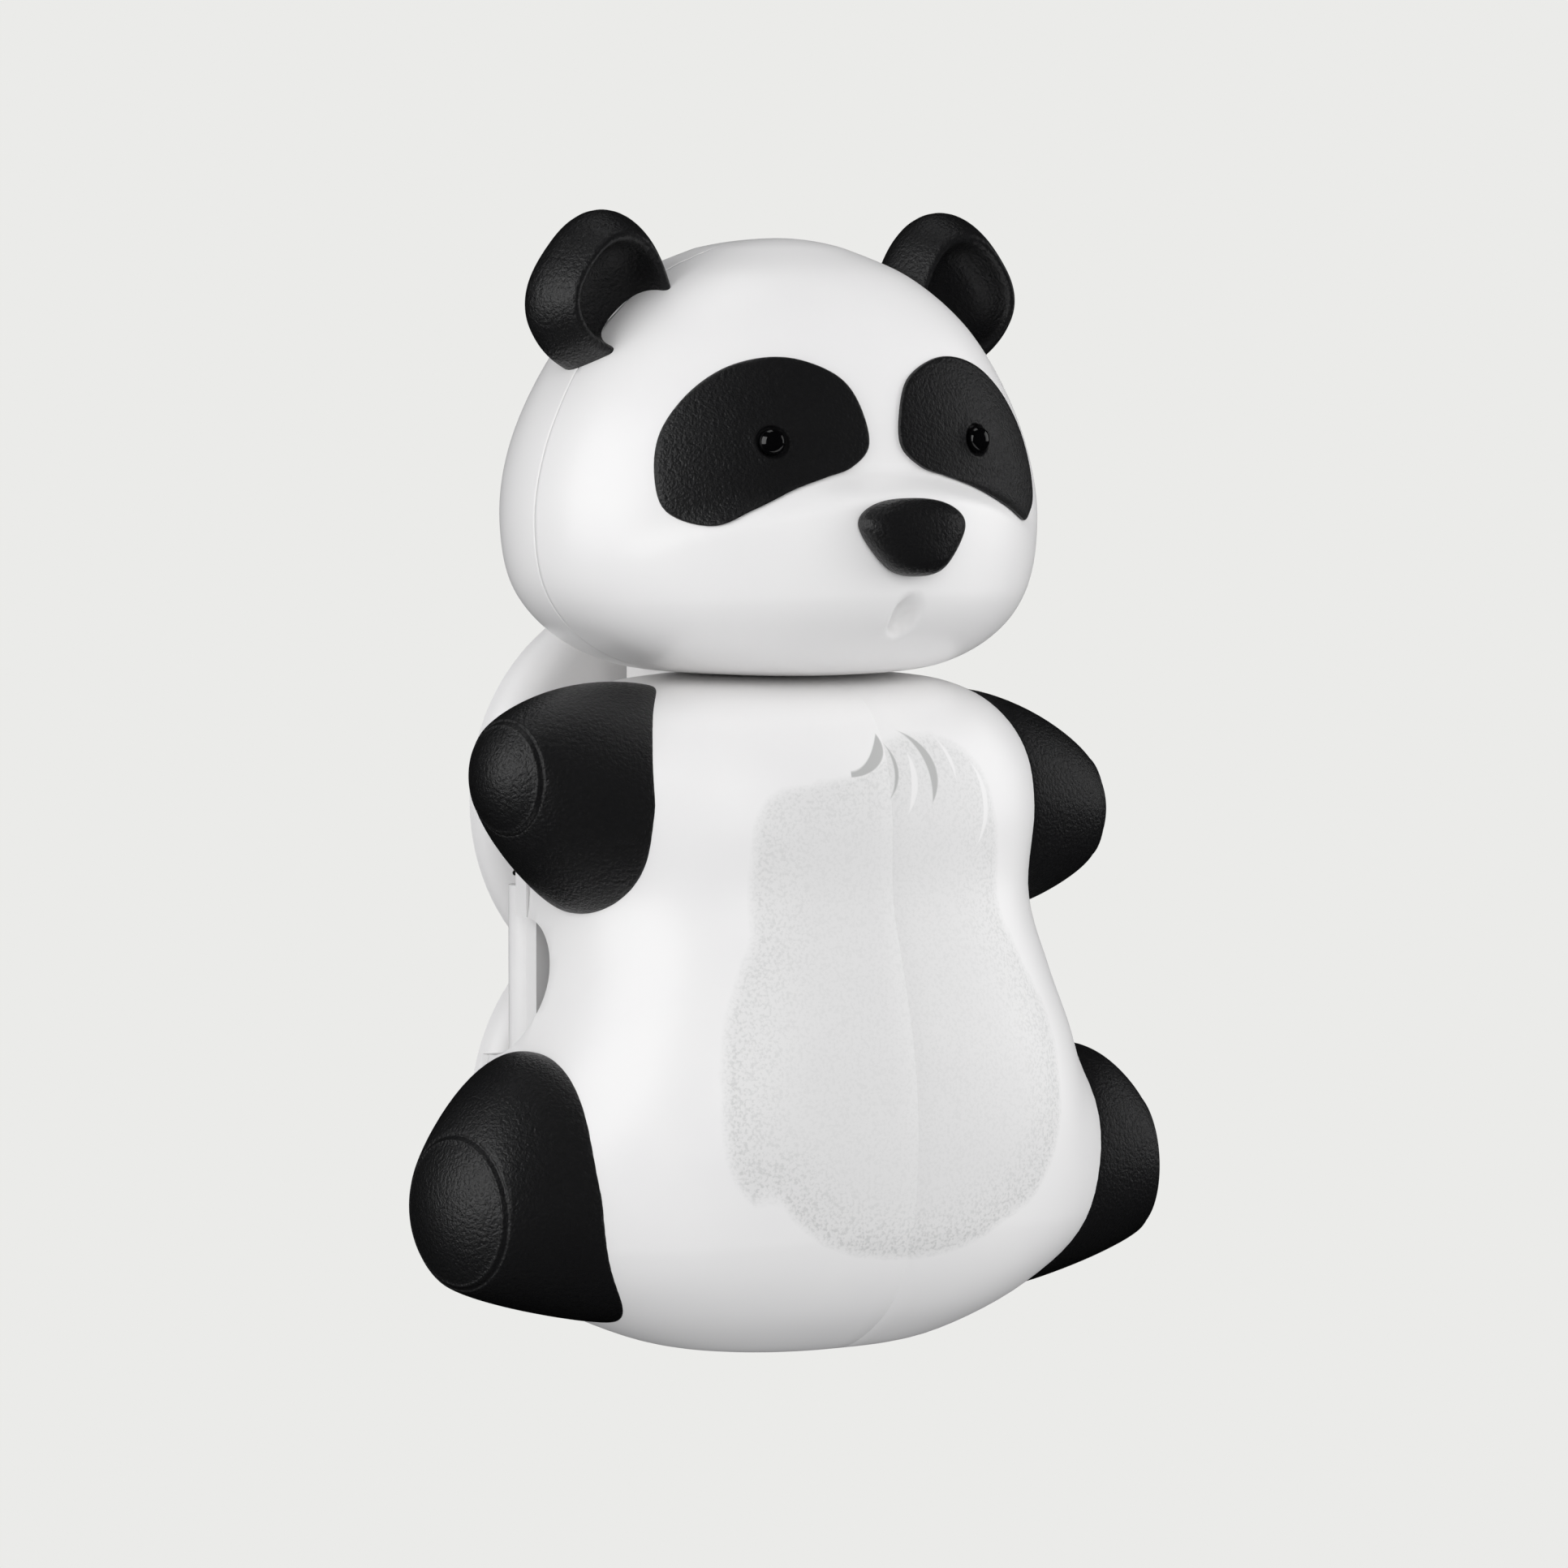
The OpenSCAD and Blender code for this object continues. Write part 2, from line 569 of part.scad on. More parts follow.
// A patch on the face: rings of its outline, a seat that follows the face and a raised front.
function patch_ring(k, raise) =
    let(last = len(patch_outline), count = 45)
    [for (i = [0:count - 1]) let(s = i * last / count, j = floor(s), t = s - j,
        a = patch_outline[(j + last - 1) % last], b = patch_outline[j % last],
        c = patch_outline[(j + 1) % last], d = patch_outline[(j + 2) % last],
        v = 0.48 * k * (2 * b + (c - a) * t + (2 * a - 5 * b + 4 * c - d) * t * t
            + (3 * b - a - 3 * c + d) * t * t * t),
        x = v[0] - eye_x, z = v[1] + eye_z + 0.5)
        [x, face_y(x, z) - raise, head_z0 + z]];

module eye_patch_left() {
    color(black) difference() {
        loft(concat(
            [for (k = [0, 0.25, 0.5, 0.7, 0.85, 1]) patch_ring(k, patch_gap)],
            [patch_ring(1, patch_t * 0.6)],
            [for (k = [0.95, 0.7, 0.35, 0]) patch_ring(k, patch_t)]));
        translate([-eye_x, 0, head_z0 + eye_z]) rotate([90, 0, 0])
            cylinder(r = eye_r + 0.05, h = 30, $fn = 32);
    }
}

// A domed bead standing in the patch's hole.
module eye_left() {
    seat = face_y(-eye_x, eye_z) - 0.5;
    color(black) translate([-eye_x, seat, head_z0 + eye_z]) rotate([90, 0, 0]) union() {
        cylinder(r = eye_r, h = patch_t - 0.5, $fn = 32);
        translate([0, 0, patch_t - 0.5]) intersection() {
            sphere(r = eye_r, $fn = 32);
            cylinder(r = eye_r * 2, h = eye_r * 2, $fn = 32);
        }
    }
}

// Outline of the nose, wide at the top and pointed at the bottom.
function nose_ring(k, raise, sides) =
    [for (j = [0:sides - 1]) let(a = 360 * j / sides,
        z = 2.85 * signed_pow(sin(a), 0.8), narrow = 0.68 + 0.32 * smooth((z + 2.4) / 4.2),
        x = k * narrow * nose_w / 2 * signed_pow(cos(a), 0.8), h = 10.4 + k * z)
        [x, face_y(x, h) - raise, head_z0 + h]];

module nose() {
    sides = 28;
    color(black) loft(concat(
        [for (k = [0, 0.5]) nose_ring(k, seat_gap, sides)],
        [nose_ring(0.97, seat_gap, sides)],
        [for (f = [[1, 0.5], [0.94, 1.0], [0.8, 1.5], [0.58, 1.85], [0.3, 2.05], [0, 2.1]])
            nose_ring(f[0], f[1], sides)]));
}

// ---------- assembly ----------
module placed() {
    translate([0, -wall_y, -upper_lobe_z]) children();
}

placed() back_frame();
placed() suction_cup();
placed() head_front();
placed() head_back();
placed() ear_left();
placed() mirrored() ear_left();  // ear_right
placed() eye_patch_left();
placed() mirrored() eye_patch_left();  // eye_patch_right
placed() eye_left();
placed() mirrored() eye_left();  // eye_right
placed() nose();
placed() hinge_pin_left();
placed() mirrored() hinge_pin_left();  // hinge_pin_right
placed() hinge_spring_left();
placed() mirrored() hinge_spring_left();  // hinge_spring_right
placed() door_left();
placed() mirrored() door_left();  // door_right
placed() arm_left();
placed() mirrored() arm_left(arm_drop);  // arm_right
placed() leg_left();
placed() mirrored() leg_left(leg_drop);  // leg_right
placed() hinge_lever_left();
placed() mirrored() hinge_lever_left();  // hinge_lever_right
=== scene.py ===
"""Looks of a panda-shaped toothbrush cover: moulded ABS shells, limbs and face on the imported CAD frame."""

import sys

import logging
import math
from collections.abc import Callable, Sequence
from dataclasses import dataclass, field
from enum import Enum

import bmesh
import bpy
import numpy as np
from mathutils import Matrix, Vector


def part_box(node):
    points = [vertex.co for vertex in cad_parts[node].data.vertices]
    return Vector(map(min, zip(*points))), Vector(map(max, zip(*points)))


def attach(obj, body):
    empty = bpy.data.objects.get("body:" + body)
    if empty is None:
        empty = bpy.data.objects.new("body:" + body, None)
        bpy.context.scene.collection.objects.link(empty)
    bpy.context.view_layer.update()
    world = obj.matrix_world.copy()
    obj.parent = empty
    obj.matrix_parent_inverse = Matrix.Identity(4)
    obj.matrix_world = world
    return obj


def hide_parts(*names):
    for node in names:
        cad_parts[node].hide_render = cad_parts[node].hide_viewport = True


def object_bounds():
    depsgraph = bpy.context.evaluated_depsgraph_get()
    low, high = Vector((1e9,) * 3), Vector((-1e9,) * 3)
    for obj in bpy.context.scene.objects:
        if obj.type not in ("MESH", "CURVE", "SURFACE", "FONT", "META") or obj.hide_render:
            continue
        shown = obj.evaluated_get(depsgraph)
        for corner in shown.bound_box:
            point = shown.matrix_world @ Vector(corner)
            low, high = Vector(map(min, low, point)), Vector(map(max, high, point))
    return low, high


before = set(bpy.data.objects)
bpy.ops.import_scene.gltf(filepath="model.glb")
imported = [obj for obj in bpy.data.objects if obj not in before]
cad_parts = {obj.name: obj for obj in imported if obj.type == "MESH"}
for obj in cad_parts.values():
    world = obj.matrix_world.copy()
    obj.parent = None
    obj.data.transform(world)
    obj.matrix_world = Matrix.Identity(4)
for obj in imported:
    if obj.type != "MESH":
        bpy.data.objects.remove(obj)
CAD_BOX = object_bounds()

LOG = logging.getLogger("panda")
MM = 0.001
Points = np.ndarray


class Side(Enum):
    """Which half of the panda a piece is on, as a viewer sees it."""

    LEFT = "left"
    RIGHT = "right"


# ---------- datum: where the design's middle is in the row frame ----------
_low, _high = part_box("door_left")
BODY_FRONT = 20.7       # mm from the body's middle plane to the belly
BODY_H = (_high[2] - _low[2]) / MM
ORIGIN = np.array([0.0, _low[1] / MM + BODY_FRONT, _low[2] / MM])


def placed(points: Points) -> Points:
    """Design millimetres to metres in the row frame."""
    return (np.asarray(points, float) + ORIGIN) * MM


def designed(points: Points) -> Points:
    """Metres in the row frame back to design millimetres."""
    return np.asarray(points, float) / MM - ORIGIN


# ---------- curves ----------
def smooth(t: Points) -> Points:
    """Smooth step from 0 to 1."""
    u = np.clip(t, 0.0, 1.0)
    return u * u * (3 - 2 * u)


def signed_pow(v: Points, e: float) -> Points:
    """Power that keeps the sign."""
    return np.sign(v) * np.abs(v) ** e


def spline(a: Points, b: Points, c: Points, d: Points, t: float) -> Points:
    """A point a share t of the way from b to c, on a smooth curve that runs on to a and d."""
    return 0.5 * (2 * b + (c - a) * t + (2 * a - 5 * b + 4 * c - d) * t * t + (3 * b - a - 3 * c + d) * t ** 3)


def row_at(rows: Points, s: float) -> Points:
    """The row of a table at a fractional row number, on a smooth curve through the rows.

    Args:
        rows: the table.
        s: the row number.

    Returns:
        One row of numbers.
    """
    last = len(rows) - 1
    i = min(int(s), last - 1)
    return spline(rows[max(i - 1, 0)], rows[i], rows[i + 1], rows[min(i + 2, last)], s - i)


def closed_curve(knots: Sequence[tuple[float, float]], count: int) -> Points:
    """Points spaced along a smooth closed curve through the knots.

    Args:
        knots: points the curve goes through.
        count: how many points to return.

    Returns:
        An array of count by 2.
    """
    k = np.array(knots, float)
    out = []
    for i in range(count):
        s = i * len(k) / count
        out.append(spline(*(k[(int(s) + n) % len(k)] for n in (-1, 0, 1, 2)), s - int(s)))
    return np.array(out)


def turns(count: int) -> Points:
    """Angles in radians, evenly spaced round a circle from 0."""
    return np.radians(np.arange(count) * 360 / count)


# ---------- modelling ----------
def only(obj: bpy.types.Object) -> None:
    """Leaves one object selected and active.

    Args:
        obj: the object.
    """
    bpy.ops.object.select_all(action="DESELECT")
    obj.select_set(True)
    bpy.context.view_layer.objects.active = obj


def modify(obj: bpy.types.Object, kind: str, **settings: object) -> None:
    """Adds a modifier with its settings and applies it.

    Args:
        obj: the object that is changed.
        kind: the modifier's type.
        **settings: the modifier's own properties.
    """
    only(obj)
    modifier = obj.modifiers.new(kind.lower(), kind)
    for key, value in settings.items():
        setattr(modifier, key, value)
    bpy.ops.object.modifier_apply(modifier=modifier.name)


def loft(name: str, rings: Sequence[Points], close_start: bool = True) -> bpy.types.Object:
    """Draws a skin as by hand: a circle is shaped into the first ring and each next ring is extruded from it.

    Args:
        name: the new object's name.
        rings: closed rings of points in design millimetres, each with the same count.
        close_start: whether the first ring is drawn in to a point, as the last one always is.

    Returns:
        The object, with its normals pointing outwards.
    """
    count = len(rings[0])
    bpy.ops.object.select_all(action="DESELECT")
    bpy.ops.mesh.primitive_circle_add(vertices=count, radius=MM)
    obj = bpy.context.object
    obj.name = obj.data.name = name
    bpy.ops.object.mode_set(mode="EDIT")
    bm = bmesh.from_edit_mesh(obj.data)
    bm.verts.ensure_lookup_table()
    for vert, point in zip(bm.verts, placed(rings[0])):
        vert.co = point
    start = 0
    for ring in rings[1:]:
        bpy.ops.mesh.extrude_region_move()
        bm = bmesh.from_edit_mesh(obj.data)
        bm.verts.ensure_lookup_table()
        order = {start + i: i for i in range(count)}
        targets = placed(ring)
        for vert in bm.verts[start + count:]:
            others = (edge.other_vert(vert).index for edge in vert.link_edges)
            vert.co = targets[next(order[index] for index in others if index in order)]
        start += count
    bpy.ops.mesh.extrude_region_move()
    bpy.ops.mesh.merge(type="CENTER")
    if close_start:
        bpy.ops.mesh.select_all(action="DESELECT")
        bm = bmesh.from_edit_mesh(obj.data)
        bm.verts.ensure_lookup_table()
        for i in range(count):
            bm.verts[i].select = True
        bm.select_flush(True)
        bpy.ops.mesh.extrude_region_move()
        bpy.ops.mesh.merge(type="CENTER")
    bpy.ops.mesh.select_all(action="SELECT")
    bpy.ops.mesh.remove_doubles(threshold=MM * 0.001)
    bpy.ops.mesh.normals_make_consistent(inside=False)
    bpy.ops.object.mode_set(mode="OBJECT")
    return obj


def cut(obj: bpy.types.Object, at: tuple[float, float, float], normal: tuple[float, float, float]) -> None:
    """Bisects an object and drops what lies on the normal's side.

    Args:
        obj: the object to cut.
        at: a point on the plane, in design millimetres.
        normal: the side that is dropped.
    """
    only(obj)
    bpy.ops.object.mode_set(mode="EDIT")
    bpy.ops.mesh.select_all(action="SELECT")
    bpy.ops.mesh.bisect(plane_co=tuple(placed(np.array(at))), plane_no=normal, clear_outer=True, use_fill=False)
    bpy.ops.mesh.select_all(action="DESELECT")
    bpy.ops.object.mode_set(mode="OBJECT")


def vectors(obj: bpy.types.Object, kind: str = "co") -> Points:
    """A vector of each of an object's points.

    Args:
        obj: the object.
        kind: "co" for places in metres or "normal" for normals.

    Returns:
        An array of points by 3.
    """
    flat = np.empty(len(obj.data.vertices) * 3)
    obj.data.vertices.foreach_get(kind, flat)
    return flat.reshape(-1, 3)


def sculpt(obj: bpy.types.Object, move: Callable[[Points], Points]) -> None:
    """Moves every point of an object by a function of design millimetres."""
    obj.data.vertices.foreach_set("co", placed(move(designed(vectors(obj)))).ravel())
    obj.data.update()


def carve(obj: bpy.types.Object, tool: bpy.types.Object) -> None:
    """Cuts an object with another and deletes the other."""
    modify(obj, "BOOLEAN", operation="DIFFERENCE", object=tool, solver="EXACT")
    bpy.data.objects.remove(tool, do_unlink=True)


def rod(centre: Points, radius: float, depth: float, axis: str, vertices: int = 64) -> bpy.types.Object:
    """A plain cylinder used as a cutting tool.

    Args:
        centre: its middle, in design millimetres.
        radius: in millimetres.
        depth: its length, in millimetres.
        axis: the axis it lies along, X, Y or Z.
        vertices: how many points its circle has.

    Returns:
        The cylinder.
    """
    turn = {"X": (0, math.pi / 2, 0), "Y": (math.pi / 2, 0, 0), "Z": (0, 0, 0)}[axis]
    bpy.ops.object.select_all(action="DESELECT")
    bpy.ops.mesh.primitive_cylinder_add(vertices=vertices, radius=radius * MM, depth=depth * MM,
                                        location=tuple(placed(np.array(centre))), rotation=turn)
    return bpy.context.object


def settle(obj: bpy.types.Object, crease: float = 35.0) -> None:
    """Puts an object's place into its mesh and shades it smooth.

    Args:
        obj: the object.
        crease: the angle in degrees from which an edge stays sharp.
    """
    only(obj)
    bpy.ops.object.transform_apply(location=True, rotation=True, scale=True)
    bpy.ops.object.shade_smooth_by_angle(angle=math.radians(crease), keep_sharp_edges=False)


def mirrored(obj: bpy.types.Object, name: str) -> bpy.types.Object:
    """A copy of a piece for the other side, with its own mesh.

    Args:
        obj: the piece.
        name: the copy's name.

    Returns:
        The copy, with its normals pointing outwards.
    """
    only(obj)
    bpy.ops.object.duplicate()
    twin = bpy.context.object
    twin.name = twin.data.name = name
    bpy.ops.object.mode_set(mode="EDIT")
    bpy.ops.mesh.select_all(action="SELECT")
    bpy.ops.transform.resize(value=(-1, 1, 1), center_override=(0, 0, 0))
    bpy.ops.mesh.flip_normals()
    bpy.ops.object.mode_set(mode="OBJECT")
    return twin


# ---------- finishes ----------
def colour(code: str) -> tuple[float, float, float, float]:
    """An sRGB hex colour as linear values.

    Args:
        code: the colour, such as #ffffff.

    Returns:
        Red, green, blue and alpha.
    """
    parts = [int(code[i:i + 2], 16) / 255 for i in (1, 3, 5)]
    return (*(c / 12.92 if c <= 0.04045 else ((c + 0.055) / 1.055) ** 2.4 for c in parts), 1.0)


def add_node(tree: bpy.types.NodeTree, kind: str, inputs: dict | None = None, **settings: object) -> bpy.types.Node:
    """Adds a node with its settings and its inputs.

    Args:
        tree: the material's node tree.
        kind: the node's type.
        inputs: socket name or number to a value, or to another node's output.
        **settings: the node's own properties.

    Returns:
        The new node.
    """
    node = tree.nodes.new(kind)
    for key, value in settings.items():
        setattr(node, key, value)
    for key, value in (inputs or {}).items():
        if isinstance(value, bpy.types.NodeSocket):
            tree.links.new(value, node.inputs[key])
        else:
            node.inputs[key].default_value = value
    return node


@dataclass(frozen=True)
class Surface:
    """One material's nodes, while a finish fills them in."""

    tree: bpy.types.NodeTree
    shader: bpy.types.Node
    where: bpy.types.NodeSocket         # the object's own coordinates

    def noise(self, grain_mm: float, detail: float = 2.0, harsh: float = 0.5,
              where: bpy.types.NodeSocket | None = None) -> bpy.types.NodeSocket:
        """A noise pattern around 0.5.

        Args:
            grain_mm: the size of its grain, in millimetres.
            detail: how many finer layers it has.
            harsh: how strong the finer layers are.
            where: its coordinates, if not the object's own.

        Returns:
            The pattern.
        """
        return add_node(self.tree, "ShaderNodeTexNoise", {
            "Vector": where or self.where, "Scale": 1 / (grain_mm * MM), "Detail": detail,
            "Roughness": harsh}).outputs["Fac"]

    def blend(self, share: object, first: object, second: object) -> bpy.types.NodeSocket:
        """A colour between two, by a share from 0 to 1."""
        return add_node(self.tree, "ShaderNodeMix", {0: share, 6: first, 7: second}, data_type="RGBA").outputs[2]

    def calc(self, how: str, *values: object, clamp: bool = False) -> bpy.types.NodeSocket:
        """The result of one sum on numbers or other nodes' outputs."""
        return add_node(self.tree, "ShaderNodeMath", dict(enumerate(values)), operation=how,
                        use_clamp=clamp).outputs[0]

    def feed(self, name: str, value: object) -> None:
        """Sets one of the shader's inputs.

        Args:
            name: the input's name.
            value: a fixed value, or another node's output.
        """
        if isinstance(value, bpy.types.NodeSocket):
            self.tree.links.new(value, self.shader.inputs[name])
        else:
            self.shader.inputs[name].default_value = value

    def gloss(self, pattern: bpy.types.NodeSocket, low: float, high: float,
              spread: tuple[float, float] = (0.0, 1.0)) -> None:
        """Lets the roughness follow a pattern.

        Args:
            pattern: the pattern.
            low: roughness at the spread's start.
            high: roughness at the spread's end.
            spread: the pattern's values that low and high stand for.
        """
        self.feed("Roughness", add_node(self.tree, "ShaderNodeMapRange", {
            "Value": pattern, 1: spread[0], 2: spread[1], 3: low, 4: high}).outputs[0])

    def relief(self, *layers: tuple[bpy.types.NodeSocket, float, float]) -> None:
        """Gives the surface its bumps.

        Args:
            *layers: each a pattern, its strength and its height in millimetres, from coarse to fine.
        """
        below: dict[str, bpy.types.NodeSocket] = {}
        for height, strength, rise_mm in layers:
            bump = add_node(self.tree, "ShaderNodeBump",
                            {"Strength": strength, "Distance": rise_mm * MM, "Height": height, **below})
            below = {"Normal": bump.outputs[0]}
        self.feed("Normal", below["Normal"])


@dataclass(frozen=True)
class Finish:
    """A surface finish; each kind of plastic or metal below fills in its own nodes."""

    name: str
    slot: str

    def dress(self, on: Surface) -> None:
        """Adds this finish's nodes."""

    def material(self) -> bpy.types.Material:
        """The finish as a material, made once.

        Returns:
            The material.
        """
        known = bpy.data.materials.get(self.name)
        if known:
            return known
        made = bpy.data.materials.new(self.name)
        made.use_nodes = True
        tree = made.node_tree
        tree.nodes.clear()
        shader = add_node(tree, "ShaderNodeBsdfPrincipled")
        add_node(tree, "ShaderNodeOutputMaterial", {"Surface": shader.outputs[0]})
        self.dress(Surface(tree, shader, add_node(tree, "ShaderNodeTexCoord").outputs["Object"]))
        return made


@dataclass(frozen=True)
class WhiteAbs(Finish):
    """Injection-moulded ABS from a fine satin mould: milky white, soft highlights, faint flow waviness."""

    name: str = "ABS moulded white"
    slot: str = "white_abs"
    base: str = "#f0efee"
    shade: str = "#ebeaea"
    ior: float = 1.53
    roughness: float = 0.3
    wave_mm: float = 7.0        # sink and flow waviness of a moulded wall
    grain_mm: float = 0.12      # satin mould grain

    def paint(self, on: Surface) -> bpy.types.NodeSocket:
        """The plastic's colour, barely mottled as moulded resin is."""
        return on.blend(on.noise(self.wave_mm), colour(self.base), colour(self.shade))

    def dress(self, on: Surface) -> None:
        """Milky base, satin gloss and two scales of bump.

        Args:
            on: the material's nodes.
        """
        on.feed("Base Color", self.paint(on))
        on.feed("IOR", self.ior)
        grain = on.noise(self.grain_mm, 1.0)
        on.gloss(grain, self.roughness - 0.04, self.roughness + 0.05)
        on.relief((on.noise(self.wave_mm, 0.0), 0.12, 0.1), (grain, 0.05, 0.02))


@dataclass(frozen=True)
class Stroke:
    """One printed fur stroke: an arc in the X and Z plane that thins out to both ends, in millimetres."""

    centre: tuple[float, float]
    radius: float
    middle_z: float
    half_z: float
    width: float


@dataclass(frozen=True)
class PrintedWhiteAbs(WhiteAbs):
    """The white ABS with a pad-printed belly: a pale grey stipple, denser at its rim, and a few fur strokes."""

    name: str = "ABS moulded white with pad print"
    ink: str = "#c9c9c8"
    dark_ink: str = "#b9b9b8"
    dots_mm: float = 0.25       # spacing of the stipple's dots
    edge_mm: float = 0.12       # soft edge of a stroke
    fade_mm: float = 0.8        # soft edge of the print
    rim_mm: float = 5.0         # how far in the rim's dense stipple reaches
    fade_z: tuple[float, float] = (8.0, 40.0)       # heights between which the stipple thins out
    dark: tuple[Stroke, ...] = (
        Stroke((-3.2, 46.2), 2.8, 44.7, 1.7, 0.55), Stroke((0.0, 42.8), 4.0, 43.8, 2.8, 0.42),
        Stroke((-2.4, 43.7), 3.1, 43.6, 2.2, 0.22))
    light: tuple[Stroke, ...] = (
        Stroke((-3.0, 43.2), 5.2, 42.7, 2.4, 0.34), Stroke((1.0, 42.5), 5.1, 44.4, 1.8, 0.22),
        Stroke((4.2, 40.8), 4.8, 40.9, 3.4, 0.32))

    def stroke(self, on: Surface, s: Stroke) -> bpy.types.NodeSocket:
        """A stroke's mask.

        Args:
            on: the material's nodes.
            s: the stroke.

        Returns:
            1 inside the stroke and 0 outside it.
        """
        calc = on.calc
        parts = add_node(on.tree, "ShaderNodeSeparateXYZ", {0: on.where})
        flat = add_node(on.tree, "ShaderNodeCombineXYZ", {0: parts.outputs[0], 2: parts.outputs[2]}).outputs[0]
        x, height = placed(np.array([s.centre[0], 0, s.centre[1]]))[[0, 2]]
        middle = placed(np.array([0, 0, s.middle_z]))[2]
        away = add_node(on.tree, "ShaderNodeVectorMath", {0: flat, 1: (x, 0, height)}, operation="DISTANCE")
        off = calc("ABSOLUTE", calc("SUBTRACT", away.outputs["Value"], s.radius * MM))
        along = calc("DIVIDE", calc("SUBTRACT", parts.outputs[2], middle), s.half_z * MM)
        taper = calc("SUBTRACT", 1.0, calc("MULTIPLY", along, along), clamp=True)
        room = calc("SUBTRACT", calc("MULTIPLY", taper, s.width * MM), off)
        right = calc("GREATER_THAN", calc("SUBTRACT", parts.outputs[0], x), 0.0)
        return calc("MULTIPLY", calc("DIVIDE", room, self.edge_mm * MM, clamp=True), right)

    def paint(self, on: Surface) -> bpy.types.NodeSocket:
        """White resin under the print's stipple and strokes.

        Args:
            on: the material's nodes.

        Returns:
            The colour.
        """
        calc = on.calc
        plastic = super().paint(on)
        depth = add_node(on.tree, "ShaderNodeAttribute", attribute_name="print_depth").outputs["Fac"]
        dots = on.noise(self.dots_mm, 1.0, 0.6)
        dot = calc("MULTIPLY", calc("SUBTRACT", dots, 0.46), 5.0, clamp=True)
        inside = calc("DIVIDE", depth, self.fade_mm, clamp=True)
        # the stipple is dense at the print's rim and low on the belly, and thins out to an even film
        rim = calc("SUBTRACT", 1.0, calc("DIVIDE", depth, self.rim_mm, clamp=True), clamp=True)
        height = add_node(on.tree, "ShaderNodeSeparateXYZ", {0: on.where}).outputs[2]
        start, end = (float(placed(np.array([0, 0, z]))[2]) for z in self.fade_z)
        low = add_node(on.tree, "ShaderNodeMapRange", {"Value": height, 1: start, 2: end, 3: 1.0, 4: 0.35}).outputs[0]
        cover = calc("ADD", 0.14, calc("MULTIPLY", calc("MULTIPLY", rim, low), 0.55))
        ink = calc("MULTIPLY", calc("ADD", calc("MULTIPLY", cover, dot), 0.3), inside)
        for s in self.light:
            ink = calc("MULTIPLY", ink, calc("SUBTRACT", 1.0, self.stroke(on, s)))
        printed = on.blend(ink, plastic, colour(self.ink))
        outer = calc("GREATER_THAN", depth, -8.0)       # the shell's inner face carries no print
        for s in self.dark:
            mask = calc("MULTIPLY", self.stroke(on, s), outer)
            printed = on.blend(mask, printed, colour(self.dark_ink))
        return printed


@dataclass(frozen=True)
class BlackAbs(Finish):
    """ABS moulded in a spark-eroded mould: near black, with a fine grain that breaks its highlights up."""

    name: str = "ABS moulded black, spark-eroded grain"
    slot: str = "black_abs"
    base: str = "#121213"
    painted_sheen: str = "#171718"
    ior: float = 1.53
    roughness: float = 0.4
    grain_mm: float = 0.26      # spark-eroded pits, 0.1 to 0.3 mm apart
    # the lighter second colour is a painted sheen: uneven gloss painted into the colour in random clouds
    cloud_mm: float = 6.0       # uneven gloss of a wide wall

    def dress(self, on: Surface) -> None:
        """Pitted gloss over a black base, with a painted sheen in soft lighter clouds.

        Args:
            on: the material's nodes.
        """
        pits = on.noise(self.grain_mm, harsh=0.6)
        # painted sheen: soft lighter clouds blended into the black base colour
        tone = on.blend(on.noise(self.cloud_mm, 3.0), colour(self.base), colour(self.painted_sheen))
        on.feed("Base Color", tone)
        on.feed("IOR", self.ior)
        on.gloss(pits, self.roughness - 0.05, self.roughness + 0.08, (0.3, 0.7))
        on.relief((pits, 0.9, 0.12))


@dataclass(frozen=True)
class PolishedBlackAbs(Finish):
    """ABS moulded in a polished cavity: black and mirror bright, as the eye beads are."""

    name: str = "ABS moulded black, polished"
    slot: str = "black_gloss"
    base: str = "#060607"
    ior: float = 1.54
    cloud_mm: float = 0.8       # traces of the polishing

    def dress(self, on: Surface) -> None:
        """Deep black with a sharp highlight and a trace of waviness.

        Args:
            on: the material's nodes.
        """
        on.feed("Base Color", colour(self.base))
        on.feed("IOR", self.ior)
        on.gloss(on.noise(self.cloud_mm, 1.0), 0.05, 0.12)


@dataclass(frozen=True)
class DrawnSteel(Finish):
    """Stainless steel drawn through a die: bright, with fine lines along its length."""

    name: str = "Stainless steel drawn wire"
    slot: str = "steel"
    base: str = "#c9c8c5"
    line_mm: float = 0.1        # spacing of the drawing lines
    stretch: float = 0.05       # how much the pattern is drawn out along Z

    def dress(self, on: Surface) -> None:
        """Metal with streaked roughness.

        Args:
            on: the material's nodes.
        """
        on.feed("Base Color", colour(self.base))
        on.feed("Metallic", 1.0)
        drawn = add_node(on.tree, "ShaderNodeMapping", {"Vector": on.where,
                                                        "Scale": (1.0, 1.0, self.stretch)}).outputs[0]
        on.gloss(on.noise(self.line_mm, where=drawn), 0.18, 0.36)


@dataclass(frozen=True)
class ClearVinyl(Finish):
    """Soft PVC cast clear: a bluish tint, wet gloss and slow ripples from the mould."""

    name: str = "PVC soft clear"
    slot: str = "clear_vinyl"
    base: str = "#e3edf0"
    ior: float = 1.53
    roughness: float = 0.16
    clearness: float = 0.85
    ripple_mm: float = 3.0

    def dress(self, on: Surface) -> None:
        """See-through tinted plastic with rippled gloss.

        Args:
            on: the material's nodes.
        """
        on.feed("Base Color", colour(self.base))
        on.feed("Roughness", self.roughness)
        on.feed("IOR", self.ior)
        on.feed("Transmission Weight", self.clearness)
        on.relief((on.noise(self.ripple_mm, 1.0), 0.2, 0.1))


